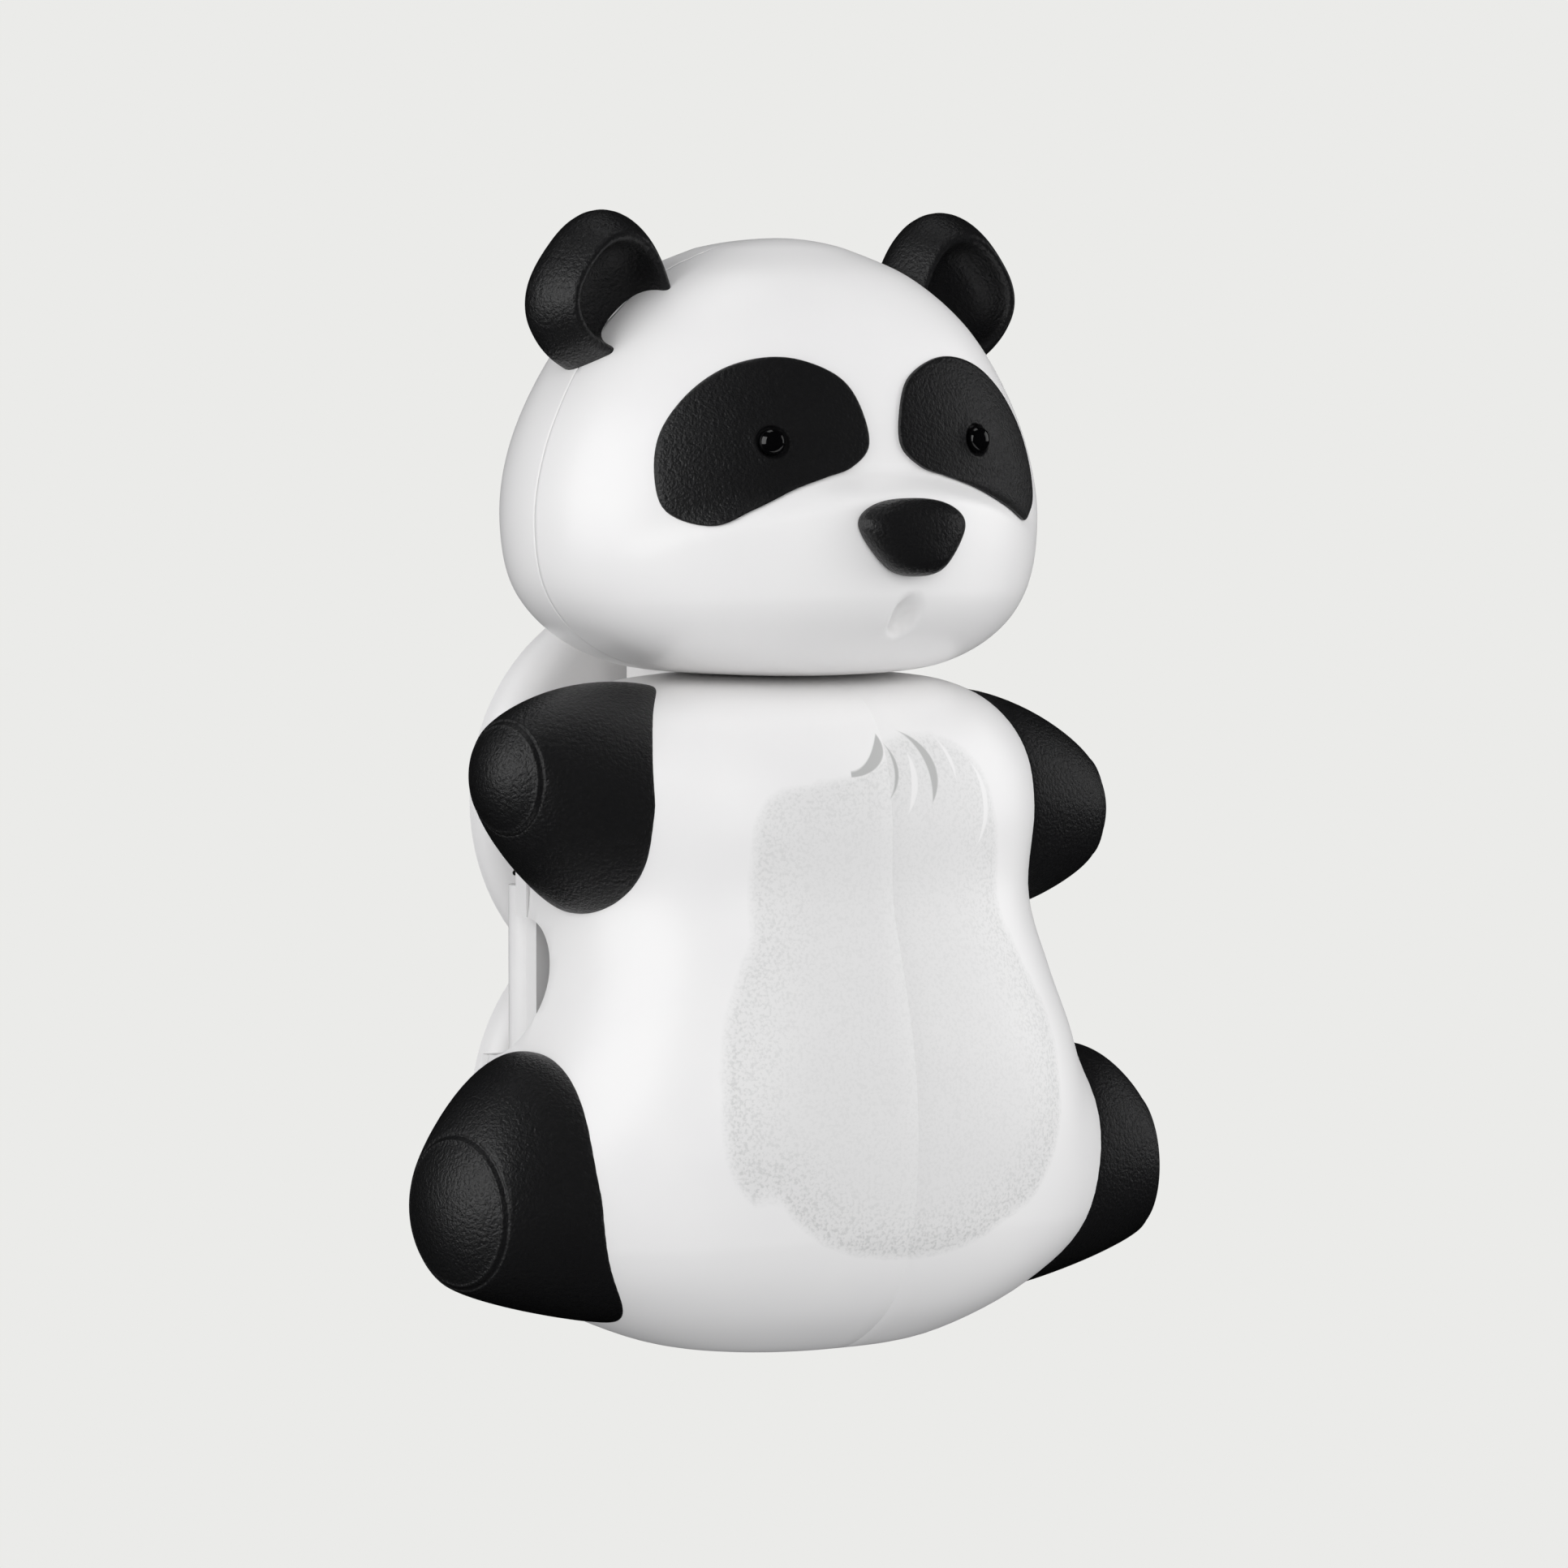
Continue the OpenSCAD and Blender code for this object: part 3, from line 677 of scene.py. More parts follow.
def fit_out(obj: bpy.types.Object, finish: Finish, body: str, *nodes: str) -> None:
    """Gives a finished piece its finish and says what it belongs to.

    Args:
        obj: the piece.
        finish: its finish.
        body: the body it moves with.
        *nodes: the CAD nodes that it stands for.
    """
    obj.data.materials.clear()
    obj.data.materials.append(finish.material())
    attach(obj, body)
    if nodes:
        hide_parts(*nodes)
    LOG.info("%s: %d faces on %s", obj.name, len(obj.data.polygons), body)


# ---------- the body's surface ----------
@dataclass
class BodyForm:
    """The outer surface shared by the half shells and the limbs that stand on it, in millimetres."""

    half_w: float = 23.8
    front: float = BODY_FRONT
    height: float = BODY_H
    squareness: float = 2.45
    back_y: float = 3.4
    plan: Points = field(default_factory=lambda: np.array([
        [0.016, 0.231, 0.266], [0.000, 0.350, 0.410], [0.018, 0.530, 0.590], [0.080, 0.770, 0.810],
        [0.170, 0.950, 0.945], [0.300, 1.000, 1.000], [0.440, 0.945, 0.985], [0.560, 0.855, 0.918],
        [0.680, 0.787, 0.836], [0.800, 0.803, 0.830], [0.886, 0.768, 0.790], [0.952, 0.665, 0.695],
        [0.988, 0.510, 0.550], [1.000, 0.300, 0.340]]))

    def mound(self, y: Points, z: Points, at: tuple[float, float, float, float]) -> Points:
        """Height of a round swell under a limb.

        Args:
            y: depths.
            z: heights.
            at: the swell's middle in Y and Z, its radius and its height.

        Returns:
            How far the surface stands out.
        """
        away = ((y - at[0]) ** 2 + (z - at[1]) ** 2) / at[2] ** 2
        return at[3] * np.maximum(0, 1 - away) ** 2

    def swell(self, x: Points, y: Points, z: Points, side: float | Points) -> Points:
        """How far the flanks stand out towards the limbs.

        Args:
            x: side distances.
            y: depths.
            z: heights.
            side: the flank's own side distance at those heights.

        Returns:
            How far the surface stands out sideways.
        """
        arm = self.mound(y, z, (-3.5, self.height - 8.7, 13.5, 1.3))
        leg = self.mound(y, z, (-4.0, 11.0, 13.5, 3.6))
        return (arm + leg) * smooth(np.abs(x) / side)

    def ring(self, s: float, sides: int) -> Points:
        """One level of the body as a closed ring.

        Args:
            s: row number in the plan.
            sides: how many points.

        Returns:
            Points in design millimetres.
        """
        z, side, deep = row_at(self.plan, s) * (self.height, self.half_w, self.front)
        a = turns(sides)
        e = 2 / self.squareness
        x, y = side * signed_pow(np.cos(a), e), deep * signed_pow(np.sin(a), e)
        zs = np.full(sides, z)
        return np.stack([x + np.sign(x) * self.swell(x, y, zs, side), y, zs], 1)

    def flank_x(self, y: float, z: float) -> float:
        """Side distance of the surface at a place.

        Args:
            y: its depth.
            z: its height.

        Returns:
            Millimetres from the middle plane.
        """
        low, high = 2.0, len(self.plan) - 1.0
        for _ in range(20):
            mid = (low + high) / 2
            low, high = (mid, high) if row_at(self.plan, mid)[0] * self.height < z else (low, mid)
        _, side, deep = row_at(self.plan, low) * (1, self.half_w, self.front)
        x = side * max(0.0, 1 - (abs(y) / deep) ** self.squareness) ** (1 / self.squareness)
        return float(x + self.swell(np.array(x), np.array(y), np.array(z), side))


@dataclass
class HalfShell:
    """One swinging half of the body: a thin moulded shell with a printed belly."""

    form: BodyForm
    wall: float = 1.5
    seam: float = 0.085         # half of the visible gap at the front seam
    notch_r: float = 5.0
    notch_z: float = 27.2
    notch_in: float = 0.4       # how far the notch's middle lies ahead of the shell's back edge
    edge: float = 0.13          # softened edges
    levels: int = 78
    sides: int = 128
    belly: tuple[tuple[float, float], ...] = (
        (-3.2, 43.6), (-9.0, 42.6), (-10.8, 40.4), (-11.1, 37.5), (-11.3, 34.0), (-11.4, 31.9), (-12.7, 29.3),
        (-13.8, 26.5), (-14.8, 21.9), (-15.0, 17.8), (-14.4, 14.6), (-12.9, 12.6), (-11.9, 11.9), (-11.6, 13.4),
        (-9.7, 11.1), (-6.5, 9.0), (-2.4, 8.0), (1.2, 7.8), (5.4, 8.5), (8.3, 9.9), (11.9, 11.9), (14.2, 15.9),
        (14.9, 20.1), (14.3, 24.9), (11.9, 29.9), (10.6, 33.0), (10.6, 37.2), (10.1, 40.8), (8.8, 43.9), (6.5, 45.7),
        (3.4, 46.4), (0.2, 46.2), (-0.5, 44.9))

    def skin(self) -> bpy.types.Object:
        """The whole body's outer skin, open at the bottom and closed over at the top.

        Returns:
            The skin, named for the left shell.
        """
        last = len(self.form.plan) - 1
        rings = [self.form.ring(i * last / self.levels, self.sides) for i in range(self.levels + 1)]
        rings += [rings[-1] * (k, k, 1) for k in (0.6, 0.25)]
        return loft("door_left_shell", rings, close_start=False)

    def shape(self) -> bpy.types.Object:
        """Cuts the left half out of the skin and gives it its wall, notch and softened edges.

        Returns:
            The left shell.
        """
        shell = self.skin()
        cut(shell, (-self.seam, 0, 0), (1, 0, 0))
        cut(shell, (0, self.form.back_y, 0), (0, 1, 0))
        modify(shell, "SOLIDIFY", thickness=self.wall * MM, offset=-1, use_even_offset=True, use_quality_normals=True)
        carve(shell, rod((-22, self.form.back_y - self.notch_in, self.notch_z), self.notch_r, 24, "X", 96))
        modify(shell, "BEVEL", width=self.edge * MM, segments=2, limit_method="ANGLE", angle_limit=math.radians(50))
        return shell

    def print_depth(self, shell: bpy.types.Object) -> None:
        """Stores how deep each point lies inside the belly print's outline, in millimetres.

        Args:
            shell: the half shell.
        """
        outline = closed_curve(self.belly, 300)
        p = designed(vectors(shell))[:, [0, 2]]
        away = np.min(np.linalg.norm(p[:, None] - outline[None], axis=2), axis=1)
        x0, z0 = outline.T
        x1, z1 = np.roll(outline, -1, 0).T
        cross = (z0[None] > p[:, 1:]) != (z1[None] > p[:, 1:])
        with np.errstate(divide="ignore", invalid="ignore"):
            hit = p[:, :1] < (x1 - x0) * (p[:, 1:] - z0) / (z1 - z0) + x0
        inside = (cross & hit).sum(1) % 2 == 1
        # points that don't face forwards, such as the inner wall, lie far outside the print
        facing = vectors(shell, "normal")[:, 1] < -0.2
        depth = np.where(facing, np.where(inside, away, -np.minimum(away, 5)), -20.0)
        shell.data.attributes.new("print_depth", "FLOAT", "POINT").data.foreach_set("value", depth)

    def build(self, finish: Finish) -> None:
        """Makes both half shells.

        Args:
            finish: the printed plastic.
        """
        left = self.shape()
        right = mirrored(left, "door_right_shell")
        for shell, side in ((left, Side.LEFT), (right, Side.RIGHT)):
            settle(shell, 40)
            self.print_depth(shell)
            fit_out(shell, finish, f"door_{side.value}", f"door_{side.value}")


@dataclass
class Limb:
    """An arm or a leg: a tapering stump on the body with a round domed pad, in millimetres."""

    name: str
    form: BodyForm
    centre: tuple[float, float]         # Y and Z of the foot's middle
    half: tuple[float, float]           # half sizes of the foot in Y and Z
    pad: tuple[float, float]            # Y and Z of the pad's middle
    pad_r: float
    length: float
    dome: float = 1.8
    lean: float = 10.0
    full: float = 0.9           # how much fuller the limb is on its upper side
    ring: float = 0.95          # radius of the groove round the pad, as a share of the pad's
    slant: float = 1.4          # how far back the top of the foot is drawn
    sides: int = 72
    profile: tuple[tuple[float, float], ...] = (
        (0.0, 0.0), (0.05, 0.022), (0.15, 0.075), (0.3, 0.19), (0.45, 0.32), (0.6, 0.465), (0.74, 0.62), (0.86, 0.77),
        (0.94, 0.89), (0.985, 0.97))

    def foot(self, k: float, sink: float) -> Points:
        """A ring of the foot's outline on the body's surface.

        Args:
            k: the ring's size as a share of the outline's.
            sink: how far it lies under the surface, in millimetres.

        Returns:
            Points in design millimetres.
        """
        a = turns(self.sides)
        up = signed_pow(np.sin(a), 0.88)
        y = self.centre[0] + k * (self.half[0] * signed_pow(np.cos(a), 0.88) + self.slant * np.maximum(0, up))
        z = self.centre[1] + k * self.half[1] * up
        return np.array([[-self.form.flank_x(b, c) + sink, b, c] for b, c in zip(y, z)])

    def rings(self) -> list[Points]:
        """All rings from under the foot to the top of the pad's dome.

        Returns:
            Rings of points in design millimetres.
        """
        lean = math.radians(self.lean)
        out = np.array([-math.cos(lean), -math.sin(lean), 0])
        a = turns(self.sides)
        turn = np.stack([-math.sin(lean) * np.cos(a), math.cos(lean) * np.cos(a), np.sin(a)], 1)
        middle = np.array([self.dome - self.length - self.form.flank_x(*self.pad), *self.pad])
        foot, pad = self.foot(1.0, 0.0), middle + turn * self.pad_r
        rings = [self.foot(0.5, 0.6), self.foot(0.9, 0.6), self.foot(0.985, 0.35)]
        above = np.maximum(0, np.sin(a))[:, None] ** 2 * (0, 0, self.full)
        rings += [foot + (pad - foot) * (f, g, g) + above * 4 * f * (1 - f) for f, g in self.profile]
        # the pad's dome, with a fine groove and a raised line round it
        for k in (1.0, 0.985, 0.965, 0.945, 0.925, 0.905, 0.885, 0.86, 0.8, 0.7, 0.56, 0.4, 0.22, 0.08):
            line = (k - self.ring) / 0.022
            crisp = 0.13 * math.exp(-(line + 0.9) ** 2) - 0.16 * math.exp(-(line - 0.9) ** 2)
            rings.append(middle + turn * (self.pad_r * k) + out * (self.dome * (1 - k * k) + crisp))
        return rings

    def build(self, side: Side, finish: Finish) -> None:
        """Makes the limb for one side.

        Args:
            side: the side.
            finish: its plastic.
        """
        limb = loft(f"{self.name}_{side.value}_stump", self.rings())
        if side is Side.RIGHT:
            sculpt(limb, lambda p: p * (-1, 1, 1))
            only(limb)
            bpy.ops.object.mode_set(mode="EDIT")
            bpy.ops.mesh.select_all(action="SELECT")
            bpy.ops.mesh.normals_make_consistent(inside=False)
            bpy.ops.object.mode_set(mode="OBJECT")
        modify(limb, "SUBSURF", levels=1, render_levels=1)
        settle(limb, 60)
        fit_out(limb, finish, f"door_{side.value}", f"{self.name}_{side.value}")


# ---------- the head ----------
@dataclass
class HeadForm:
    """The head's outer surface, in millimetres above the chin."""

    base_z: float
    half_w: float = 21.1
    depth: float = 16.7
    height: float = 32.45
    squareness: float = 2.15
    split_y: float = -1.3
    muzzle_out: float = 2.9
    brow: float = 14.4
    crowding: float = 0.55      # how much closer together the points lie on the face
    plan: Points = field(default_factory=lambda: np.array([
        [0.000, 0.285, 0.500, 0.210], [0.020, 0.570, 0.790, 0.480], [0.087, 0.806, 0.910, 0.690],
        [0.200, 0.957, 0.980, 0.875], [0.354, 1.000, 1.000, 0.946], [0.510, 0.962, 0.964, 0.952],
        [0.665, 0.858, 0.892, 0.874], [0.804, 0.711, 0.755, 0.731], [0.913, 0.502, 0.551, 0.539],
        [0.978, 0.266, 0.303, 0.297]]))

    def muzzle(self, x: Points, h: Points) -> Points:
        """How far the muzzle stands out from the brow.

        Args:
            x: side distances.
            h: heights above the chin.

        Returns:
            Millimetres forwards.
        """
        crease = self.brow - 0.0138 * x * x
        above = smooth((crease + 1.2 - h) / 2.4)
        below = smooth((h + 0.5) / 7)
        across = np.maximum(0, 1 - (x / (self.half_w * 0.88)) ** 2) ** 1.4
        return self.muzzle_out * above * below * across

    def ring(self, s: float, sides: int) -> Points:
        """One level of the plain head, before its muzzle, as a closed ring.

        Args:
            s: row number in the plan.
            sides: how many points.

        Returns:
            Points in design millimetres.
        """
        h, side, front, back = row_at(self.plan, s) * (self.height, self.half_w, self.depth, self.depth)
        turn = turns(sides)
        a = turn - self.crowding * np.sin(turn - 1.5 * math.pi)
        e = 2 / self.squareness
        y = signed_pow(np.sin(a), e)
        return np.stack([side * signed_pow(np.cos(a), e), np.where(y < 0, front, back) * y,
                         np.full(sides, self.base_z + h)], 1)

    def face_y(self, x: Points, h: Points) -> Points:
        """Where the face is, front to back.

        Args:
            x: side distances.
            h: heights above the chin.

        Returns:
            Y in design millimetres.
        """
        x, h = np.broadcast_arrays(np.asarray(x, float), np.asarray(h, float))
        s = np.linspace(1, len(self.plan) - 1, 400)
        table = np.array([row_at(self.plan, v) for v in s])
        side = np.interp(h, table[:, 0] * self.height, table[:, 1] * self.half_w)
        front = np.interp(h, table[:, 0] * self.height, table[:, 2] * self.depth)
        t = (np.abs(x) / side) ** self.squareness
        return -front * np.maximum(0, 1 - t) ** (1 / self.squareness) - self.muzzle(x, h)


@dataclass
class Head:
    """The head: a front and a back shell, two cupped ears, eye patches with beads, a nose and a small mouth."""

    form: HeadForm
    wall: float = 1.5
    levels: int = 62
    sides: int = 120
    mouth: tuple[float, float] = (0.3, 4.8)
    mouth_half: tuple[float, float] = (1.0, 1.3)
    mouth_deep: float = 1.6
    ear_r: float = 5.8
    ear_depth: float = 7.4
    ear_lean: float = 25.0      # degrees outwards
    ear_lobe: float = 82.0      # degrees round from the side at which the three-cornered outline has a corner
    patch_rise: float = 0.35
    eye: tuple[float, float] = (8.85, 17.5)
    eye_r: float = 1.0
    nose: tuple[float, float] = (9.4, 5.7)
    nose_h: float = 10.6
    patch: tuple[tuple[float, float], ...] = (
        (5.6, -2.5), (7.3, -0.9), (7.1, 1.7), (5.9, 4.1), (3.4, 5.5), (0.6, 5.9), (-2.6, 5.1), (-5.4, 3.1),
        (-7.5, 0.2), (-8.25, -3.0), (-7.8, -5.7), (-5.4, -6.8), (-2.7, -5.6), (0.6, -4.1), (3.4, -3.2))

    def dimples(self, p: Points) -> Points:
        """Adds the muzzle and the mouth's slanted dimple, with its raised lip, to the plain head.

        Args:
            p: points in design millimetres.

        Returns:
            The moved points.
        """
        q = p.copy()
        h = p[:, 2] - self.form.base_z
        q[:, 1] -= np.where(p[:, 1] < 0, self.form.muzzle(p[:, 0], h) * smooth(-p[:, 1] / 6), 0)
        right, up = p[:, 0] - self.mouth[0], h - self.mouth[1]
        u, v = right * 0.99 - up * 0.14, right * 0.14 + up * 0.99
        dent = np.exp(-((u / self.mouth_half[0]) ** 2 + (v / self.mouth_half[1]) ** 2) ** 2) * self.mouth_deep
        lip = np.exp(-(((u + 1.2) / 0.6) ** 2 + ((v + 0.6) / 0.9) ** 2)) * 0.16
        q[:, 1] += np.where(p[:, 1] < -6, dent - lip, 0)
        return q

    def shells(self, finish: Finish) -> None:
        """Lofts the head and parts it into its front and back mouldings.

        Args:
            finish: their plastic.
        """
        f = self.form
        last = len(f.plan) - 1
        rings = [f.ring(i * last / self.levels, self.sides) for i in range(self.levels + 1)]
        chin = np.array([0, f.split_y, rings[0][0, 2]])
        crown = np.array([0, f.split_y, f.base_z + f.height])
        low = [rings[0] + (chin - rings[0]) * k for k in (0.85, 0.6, 0.3)]
        top = [rings[-1] + (crown - rings[-1]) * (k, k, k * (2 - k)) for k in (0.2, 0.4, 0.6, 0.8, 0.93)]
        whole = loft("head_front_shell", low + rings + top)
        modify(whole, "SUBSURF", levels=1, render_levels=1)
        sculpt(whole, self.dimples)
        only(whole)
        bpy.ops.object.duplicate()
        back = bpy.context.object
        back.name = back.data.name = "head_back_shell"
        for shell, side in ((whole, 1), (back, -1)):
            cut(shell, (0, f.split_y - 0.02 * side, 0), (0, side, 0))
            modify(shell, "SOLIDIFY", thickness=self.wall * MM, offset=-1, use_even_offset=True)
            if side < 0:
                carve(shell, rod((0, 9.0, f.base_z + 1.5), 5.4, 9, "Z"))
            modify(shell, "BEVEL", width=0.08 * MM, segments=1, limit_method="ANGLE", angle_limit=math.radians(60))
            settle(shell, 50)
        fit_out(whole, finish, "frame", "head_front")
        fit_out(back, finish, "frame", "head_back")

    def ear_rings(self) -> list[Points]:
        """A deep cup with a thick rolled rim, opening forwards; its foot sinks into the head.

        Returns:
            Rings of points in design millimetres.
        """
        r, d = self.ear_r, self.ear_depth
        # depth from the rim's front towards the back, and radius as a share of the ear's
        profile = ((1.0, 0.0), (1.0, 0.25), (0.965, 0.5), (0.89, 0.72), (0.79, 0.88), (0.66, 0.975), (0.53, 1.0),
                   (0.4, 0.97), (0.27, 0.905), (0.17, 0.845), (0.11, 0.80), (0.06, 0.765), (0.02, 0.735),
                   (0.0, 0.70), (0.005, 0.665), (0.03, 0.635), (0.08, 0.615), (0.16, 0.595), (0.26, 0.55),
                   (0.36, 0.46), (0.41, 0.33),
                   (0.43, 0.14), (0.43, 0.0))
        box = designed(np.array(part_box("ear_left")))
        lean = math.radians(self.ear_lean)
        along = np.array([-math.sin(lean), 0, math.cos(lean)])
        across = np.array([math.cos(lean), 0, math.sin(lean)])
        middle = np.array([box[0, 0] + r + 0.55, (box[0, 1] + box[1, 1]) / 2 - 0.9, box[1, 2] - r + 0.05])
        a = turns(64)
        lobes = 0.985 + 0.07 * np.cos(3 * (a + lean - math.radians(self.ear_lobe)))
        rings = []
        for t, k in profile[1:-1]:
            up, wide = 1.06 * r * k * lobes * np.sin(a), r * k * lobes * np.cos(a)
            up = np.where(up < 0, up * 1.2, up)
            rings.append(middle + up[:, None] * along + wide[:, None] * across
                         + np.array([0, d * (t - 0.5), 0]) + np.array([0, -0.05, 0]) * up[:, None])
        return rings

    def ears(self, finish: Finish) -> None:
        """Makes the two ears.

        Args:
            finish: their plastic.
        """
        left = loft("ear_left_cup", self.ear_rings())
        modify(left, "SUBSURF", levels=1, render_levels=1)
        right = mirrored(left, "ear_right_cup")
        for ear, side in ((left, Side.LEFT), (right, Side.RIGHT)):
            settle(ear, 80)
            fit_out(ear, finish, "frame", f"ear_{side.value}")

    def patch_rings(self) -> list[Points]:
        """The eye patch: a seat sunk in the face, a rounded rim and a front that dips round the bead.

        Returns:
            Rings of points in design millimetres.
        """
        outline = closed_curve(self.patch, 96) * 0.96 + (0.4, 0.5)
        round_part = np.stack([np.cos(t := np.arctan2(outline[:, 1], outline[:, 0])), np.sin(t)], 1)

        def ring(k: float, rise: float) -> Points:
            """A ring at a share k of the outline, standing a rise in front of the face."""
            reach = np.linalg.norm(outline, axis=1, keepdims=True)
            # rings are true circles near the bead and follow the outline further out
            flat = round_part * (1.7 * k / 0.2 if k < 0.2 else 1.7 + (reach - 1.7) * (k - 0.2) / 0.8)
            x, h = flat[:, 0] - self.eye[0], flat[:, 1] + self.eye[1]
            return np.stack([x, self.form.face_y(x, h) - rise, self.form.base_z + h], 1)

        rise = self.patch_rise
        back = [ring(k, -0.5) for k in (0.1, 0.5, 0.9, 0.985)]
        rim = [ring(k, r) for k, r in (
            (1.0, -0.3), (1.0, rise - 0.16), (0.993, rise - 0.06), (0.98, rise - 0.015), (0.96, rise))]
        front = [ring(k, rise) for k in (0.9, 0.8, 0.65, 0.5, 0.38, 0.28)]
        # a raised ring, then the socket that the bead sits in
        socket = [ring(0.2 * v / 1.7, rise + r) for v, r in (
            (1.62, 0.0), (1.45, 0.03), (1.3, 0.05), (1.2, 0.0), (1.13, -0.14), (1.05, -0.3), (0.8, -0.32),
            (0.4, -0.32))]
        return back + rim + front + socket

    def bead_rings(self) -> list[Points]:
        """A domed bead that stands in the patch's socket.

        Returns:
            Rings of points in design millimetres.
        """
        x0, h0 = -self.eye[0], self.eye[1]
        y0 = float(self.form.face_y(x0, h0)) - self.patch_rise + 0.4
        lean = math.atan2(float(self.form.face_y(x0 + 0.5, h0) - self.form.face_y(x0 - 0.5, h0)), 1.0)
        out = np.array([math.sin(lean), -math.cos(lean), 0])
        across = np.array([math.cos(lean), math.sin(lean), 0])
        a = turns(48)
        rings = []
        for k, rise in ((0.5, 0), (0.96, 0), (1.0, 0.1), (1.0, 0.35), (0.97, 0.55), (0.88, 0.75), (0.72, 0.93),
                        (0.5, 1.06), (0.26, 1.13), (0.1, 1.15)):
            rings.append(np.array([x0, y0, self.form.base_z + h0]) + out * rise
                         + (self.eye_r * k * np.cos(a))[:, None] * across
                         + (self.eye_r * k * np.sin(a))[:, None] * np.array([0, 0, 1.0]))
        return rings

    def eyes(self, matt: Finish, bright: Finish) -> None:
        """Makes the two patches and their beads.

        Args:
            matt: the patches' plastic.
            bright: the beads' plastic.
        """
        patch = loft("eye_patch_left_inlay", self.patch_rings())
        bead = loft("eye_left_bead", self.bead_rings())
        pairs = ((patch, "eye_patch", "inlay", matt), (bead, "eye", "bead", bright))
        for piece, name, word, finish in pairs:
            twin = mirrored(piece, f"{name}_right_{word}")
            for obj, side in ((piece, Side.LEFT), (twin, Side.RIGHT)):
                settle(obj, 60)
                fit_out(obj, finish, "frame", f"{name}_{side.value}")

    def nose_rings(self) -> list[Points]:
        """The nose: broad and flat on top, narrow below, softly domed.

        Returns:
            Rings of points in design millimetres.
        """
        a = turns(72)
        rings = []
        for k, rise in ((0.4, -0.4), (0.9, -0.4), (0.98, -0.25), (1.0, 0.1), (1.0, 0.45), (0.985, 0.8), (0.95, 1.15),
                        (0.88, 1.5), (0.78, 1.8), (0.64, 2.05), (0.46, 2.22), (0.26, 2.32), (0.1, 2.35)):
            z = self.nose[1] / 2 * signed_pow(np.sin(a), 0.8)
            narrow = 0.66 + 0.34 * smooth((z + 2.4) / 4.2)
            x = k * narrow * self.nose[0] / 2 * signed_pow(np.cos(a), 0.8)
            h = self.nose_h + k * z
            rings.append(np.stack([x, self.form.face_y(x * 0.6, np.full(len(x), self.nose_h)) - rise + 0.12 * (k * z),
                                   self.form.base_z + h], 1))
        return rings

    def build(self, white: Finish, matt: Finish, bright: Finish) -> None:
        """Makes the whole head.

        Args:
            white: the shells' plastic.
            matt: the plastic of the ears, patches and nose.
            bright: the beads' plastic.
        """
        self.shells(white)
        self.ears(matt)
        self.eyes(matt, bright)
        nose = loft("nose_button", self.nose_rings())
        modify(nose, "SUBSURF", levels=1, render_levels=1)
        settle(nose, 70)
        fit_out(nose, matt, "frame", "nose")


# ---------- hardware ----------
@dataclass
class Hardware:
    """The back frame, hinge pins, springs, levers and suction cup, as the CAD gives them."""

    wire: float = 0.5
    coils: int = 4

    def springs(self, finish: Finish) -> None:
        """Winds each hinge spring as a round wire round its pin.

        Args:
            finish: the wire's metal.
        """
        for side in Side:
            node = f"hinge_spring_{side.value}"
            low, high = (np.array(c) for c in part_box(node))
            middle, coil = (low + high) / 2, (high[0] - low[0]) / 2 - self.wire * MM / 2
            curve = bpy.data.curves.new(f"{node}_coil", "CURVE")
            curve.dimensions, curve.bevel_depth, curve.bevel_resolution = "3D", self.wire * MM / 2, 3
            curve.use_fill_caps = True
            line = curve.splines.new("POLY")
            count = self.coils * 32
            line.points.add(count)
            for i, point in enumerate(line.points):
                a = 2 * math.pi * i / 32
                z = low[2] + self.wire * MM / 2 + (high[2] - low[2] - self.wire * MM) * i / count
                point.co = (middle[0] + coil * math.cos(a), middle[1] + coil * math.sin(a), z, 1)
            coil_obj = bpy.data.objects.new(f"{node}_coil", curve)
            bpy.context.scene.collection.objects.link(coil_obj)
            only(coil_obj)
            bpy.ops.object.convert(target="MESH")
            coil_obj = bpy.context.object
            settle(coil_obj, 60)
            fit_out(coil_obj, finish, "frame", node)

    def build(self, white: Finish, steel: Finish, vinyl: Finish) -> None:
        """Dresses the CAD nodes that keep their own shape, and makes the springs.

        Args:
            white: the frame's and levers' plastic.
            steel: the pins' and springs' metal.
            vinyl: the cup's plastic.
        """
        self.springs(steel)
        wear = {"back_frame": white, "suction_cup": vinyl, "hinge_pin_left": steel, "hinge_pin_right": steel,
                "hinge_lever_left": white, "hinge_lever_right": white}
        for node, finish in wear.items():
            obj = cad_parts[node]
            obj.data.materials.clear()
            obj.data.materials.append(finish.material())
            LOG.info("%s keeps its CAD shape in %s", node, finish.name)


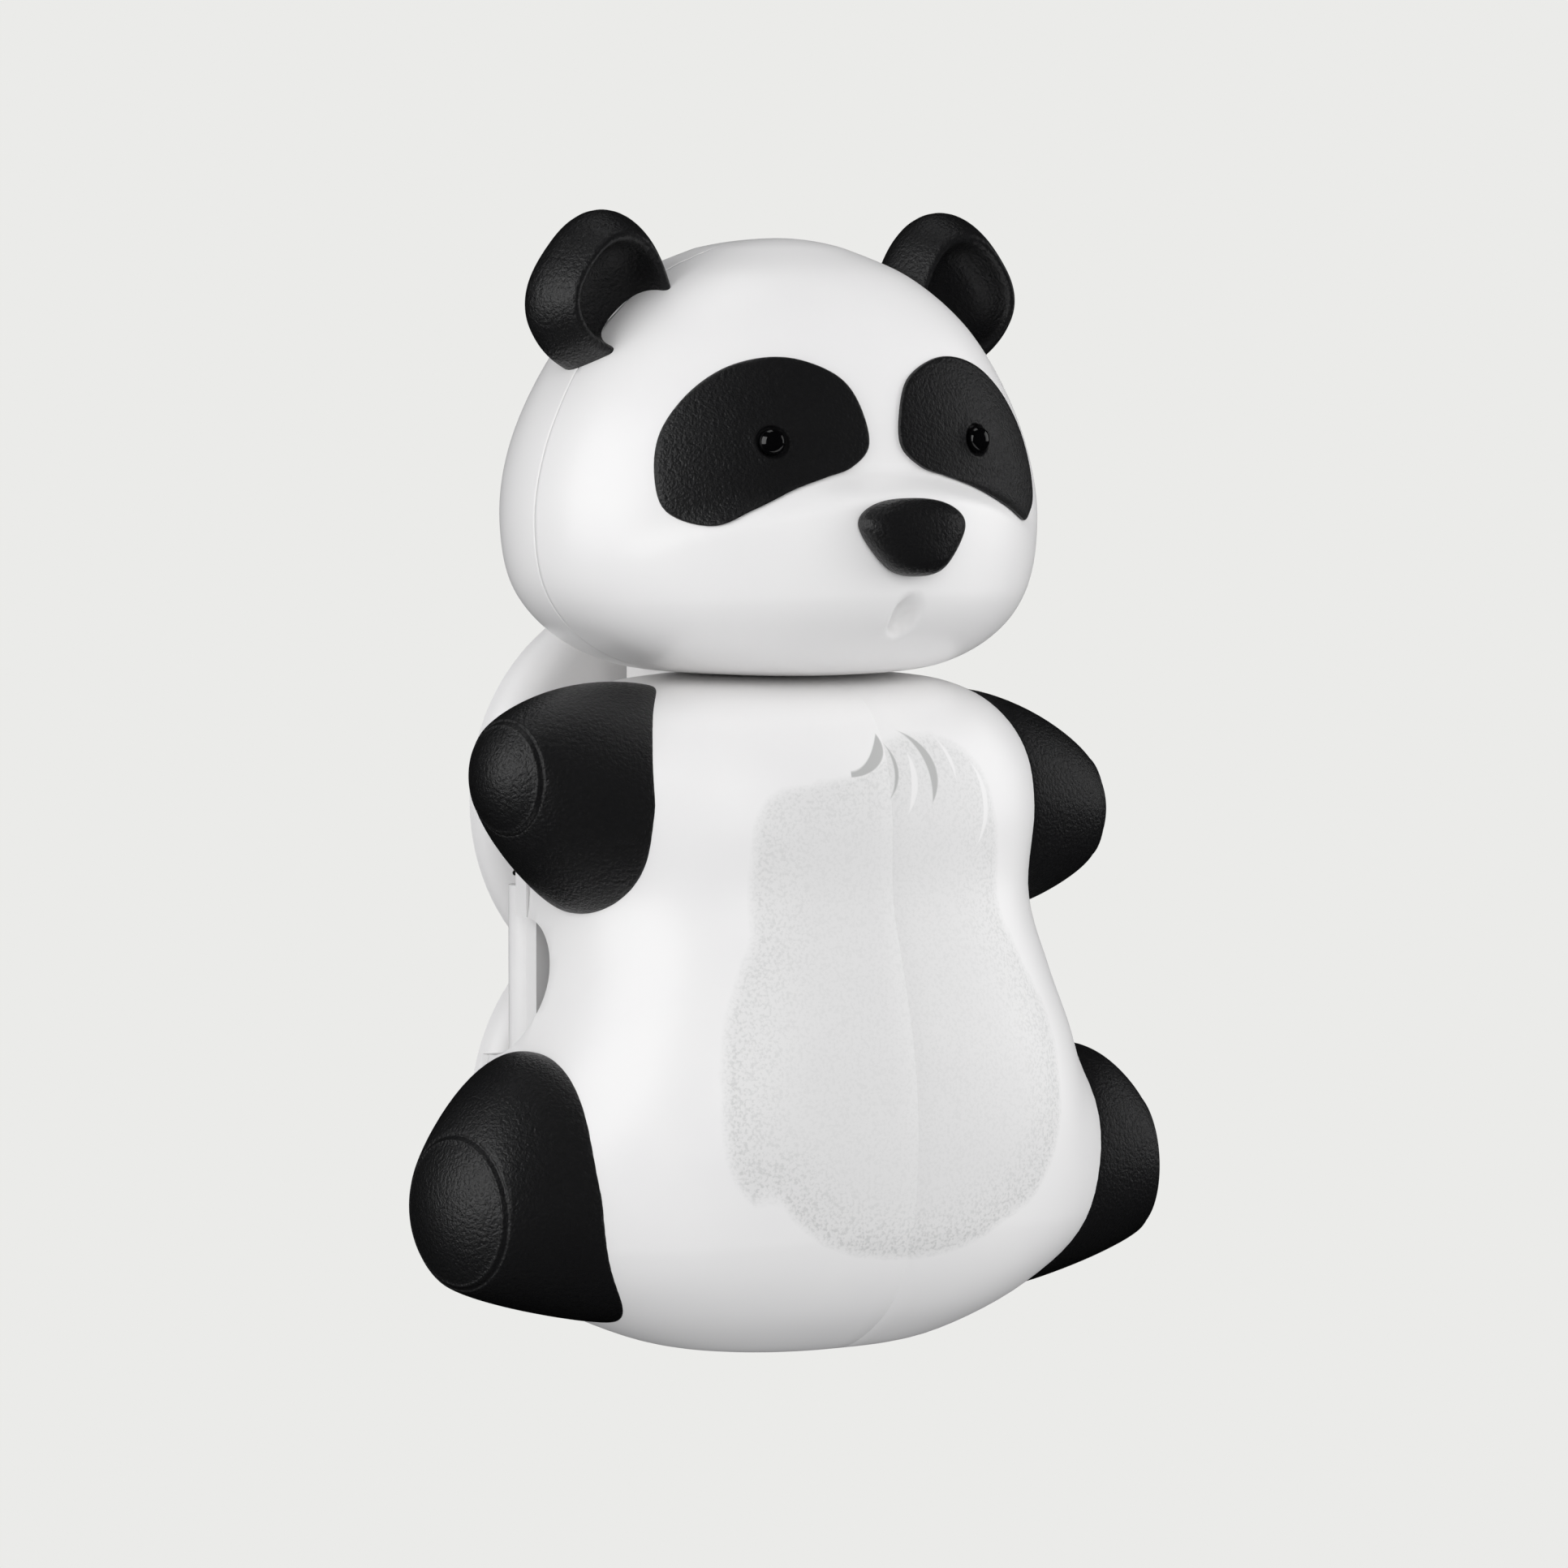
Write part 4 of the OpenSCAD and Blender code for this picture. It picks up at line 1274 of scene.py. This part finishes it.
# ---------- studio ----------
@dataclass
class Studio:
    """A pale seamless floor, soft boxes and the camera."""

    azimuth: float = -32.0
    elevation: float = 4.0
    distance: float = 0.5
    lens: float = 152.3
    aim: tuple[float, float, float] = (0.0, 0.0, 42.5)
    aside: tuple[float, float] = (1.15, -0.8)
    backdrop: str = "#ebebe9"
    ambient: float = 0.48
    # name, place from the panda's middle in metres, size, watts, and whether its glare is filtered off
    boxes: tuple[tuple[str, tuple[float, float, float], float, float, bool], ...] = (
        ("left", (-0.75, 0.0, 0.2), 0.7, 3.1, False), ("right", (0.8, -0.1, 0.2), 0.5, 0.6, False),
        ("right fill", (0.75, -0.35, 0.2), 0.6, 3.4, True), ("front", (-0.3, -0.9, 0.25), 0.6, 3.4, True),
        ("top", (0.0, 0.2, 0.9), 0.4, 0.5, False), ("bounce", (0.0, -0.3, -0.8), 0.8, 1.6, True))

    def camera(self) -> None:
        """Looks at the panda from its left front."""
        a, e = math.radians(self.azimuth), math.radians(self.elevation)
        back = Vector((math.sin(a) * math.cos(e), -math.cos(a) * math.cos(e), math.sin(e)))
        right = Vector((math.cos(a), math.sin(a), 0))
        up = back.cross(right)
        aim = Vector(placed(np.array(self.aim))) + (right * self.aside[0] + up * self.aside[1]) * MM
        lens = bpy.data.cameras.new("camera")
        lens.lens, lens.sensor_width, lens.clip_start = self.lens, 36, 0.01
        camera = bpy.data.objects.new("camera", lens)
        bpy.context.scene.collection.objects.link(camera)
        camera.location = aim + back * self.distance
        camera.rotation_euler = back.to_track_quat("Z", "Y").to_euler()
        bpy.context.scene.camera = camera

    def softbox(self, name: str, place: tuple[float, float, float], size: float, watts: float, matt: bool) -> None:
        """A square area light aimed at the panda's middle.

        Args:
            name: its name.
            place: where it stands from the panda's middle, in metres.
            size: its edge, in metres.
            watts: its power.
            matt: whether its glare is filtered off, so that it lights the whites and leaves the blacks dark.
        """
        data = bpy.data.lights.new(name, "AREA")
        data.size, data.energy = size, watts
        light = bpy.data.objects.new(name, data)
        bpy.context.scene.collection.objects.link(light)
        light.visible_glossy = not matt
        light.location = Vector(placed(np.array(self.aim))) + Vector(place)
        light.rotation_euler = Vector(place).to_track_quat("Z", "Y").to_euler()

    def paper(self) -> bpy.types.Material:
        """Evenly lit pale paper, made once.

        Returns:
            The material.
        """
        made = bpy.data.materials.get("Paper backdrop") or bpy.data.materials.new("Paper backdrop")
        made.use_nodes = True
        tree = made.node_tree
        tree.nodes.clear()
        glow = add_node(tree, "ShaderNodeEmission", {"Color": colour(self.backdrop), "Strength": 1.0})
        add_node(tree, "ShaderNodeOutputMaterial", {"Surface": glow.outputs[0]})
        return made

    def floor(self) -> None:
        """A pale paper floor, evenly lit, well below the hanging panda."""
        bpy.ops.object.select_all(action="DESELECT")
        bpy.ops.mesh.primitive_plane_add(size=8, location=(0, 0, CAD_BOX[0][2] - 0.12))
        paper = bpy.context.object
        paper.name = "floor"
        paper.visible_diffuse = paper.visible_glossy = False
        paper.data.materials.append(self.paper())
        settle(paper)

    def dome(self) -> None:
        """The same pale tone all round behind the panda, which only the camera sees."""
        bpy.ops.object.select_all(action="DESELECT")
        bpy.ops.mesh.primitive_uv_sphere_add(segments=48, ring_count=24, radius=3.5)
        dome = bpy.context.object
        dome.name = "backdrop"
        dome.data.materials.append(self.paper())
        dome.visible_diffuse = dome.visible_glossy = dome.visible_shadow = False

    def world(self) -> None:
        """Weak even light from the room."""
        world = bpy.data.worlds.new("studio")
        world.use_nodes = True
        tree = world.node_tree
        tree.nodes.clear()
        air = add_node(tree, "ShaderNodeBackground", {"Color": colour("#f4f5f7"), "Strength": self.ambient})
        add_node(tree, "ShaderNodeOutputWorld", {"Surface": air.outputs[0]})
        world.cycles_visibility.glossy = False
        bpy.context.scene.world = world

    def build(self) -> None:
        """Sets the stage."""
        self.camera()
        self.floor()
        self.dome()
        self.world()
        for box in self.boxes:
            self.softbox(*box)
        bpy.context.scene.view_settings.view_transform = "Standard"


def main() -> None:
    """Builds the panda piece by piece and lights it."""
    logging.basicConfig(level=logging.INFO, format="%(name)s %(message)s", stream=sys.stdout)
    Studio().build()
    body, head = BodyForm(), HeadForm(base_z=BODY_H + 0.09)
    white, matt, bright = WhiteAbs(), BlackAbs(), PolishedBlackAbs()
    HalfShell(body).build(PrintedWhiteAbs())
    for side in Side:
        drop, low = (4.0, 0.8) if side is Side.RIGHT else (0.0, 0.0)
        Limb("arm", body, (-3.9, BODY_H - 8.8 - drop / 4), (7.2, 8.3), (-4.2, BODY_H - 6.9 - drop), 4.4, 7.15,
             ring=0.925, full=0.9 - drop / 8).build(side, matt)
        Limb("leg", body, (-4.5, 12.9 - 1.25 * low), (7.9, 10.1 - 1.3 * low), (-4.7, 11.8), 5.8,
             4.4 + low / 4).build(side, matt)
    Head(head).build(white, matt, bright)
    Hardware().build(white, DrawnSteel(), ClearVinyl())


if __name__ == "__main__":
    main()
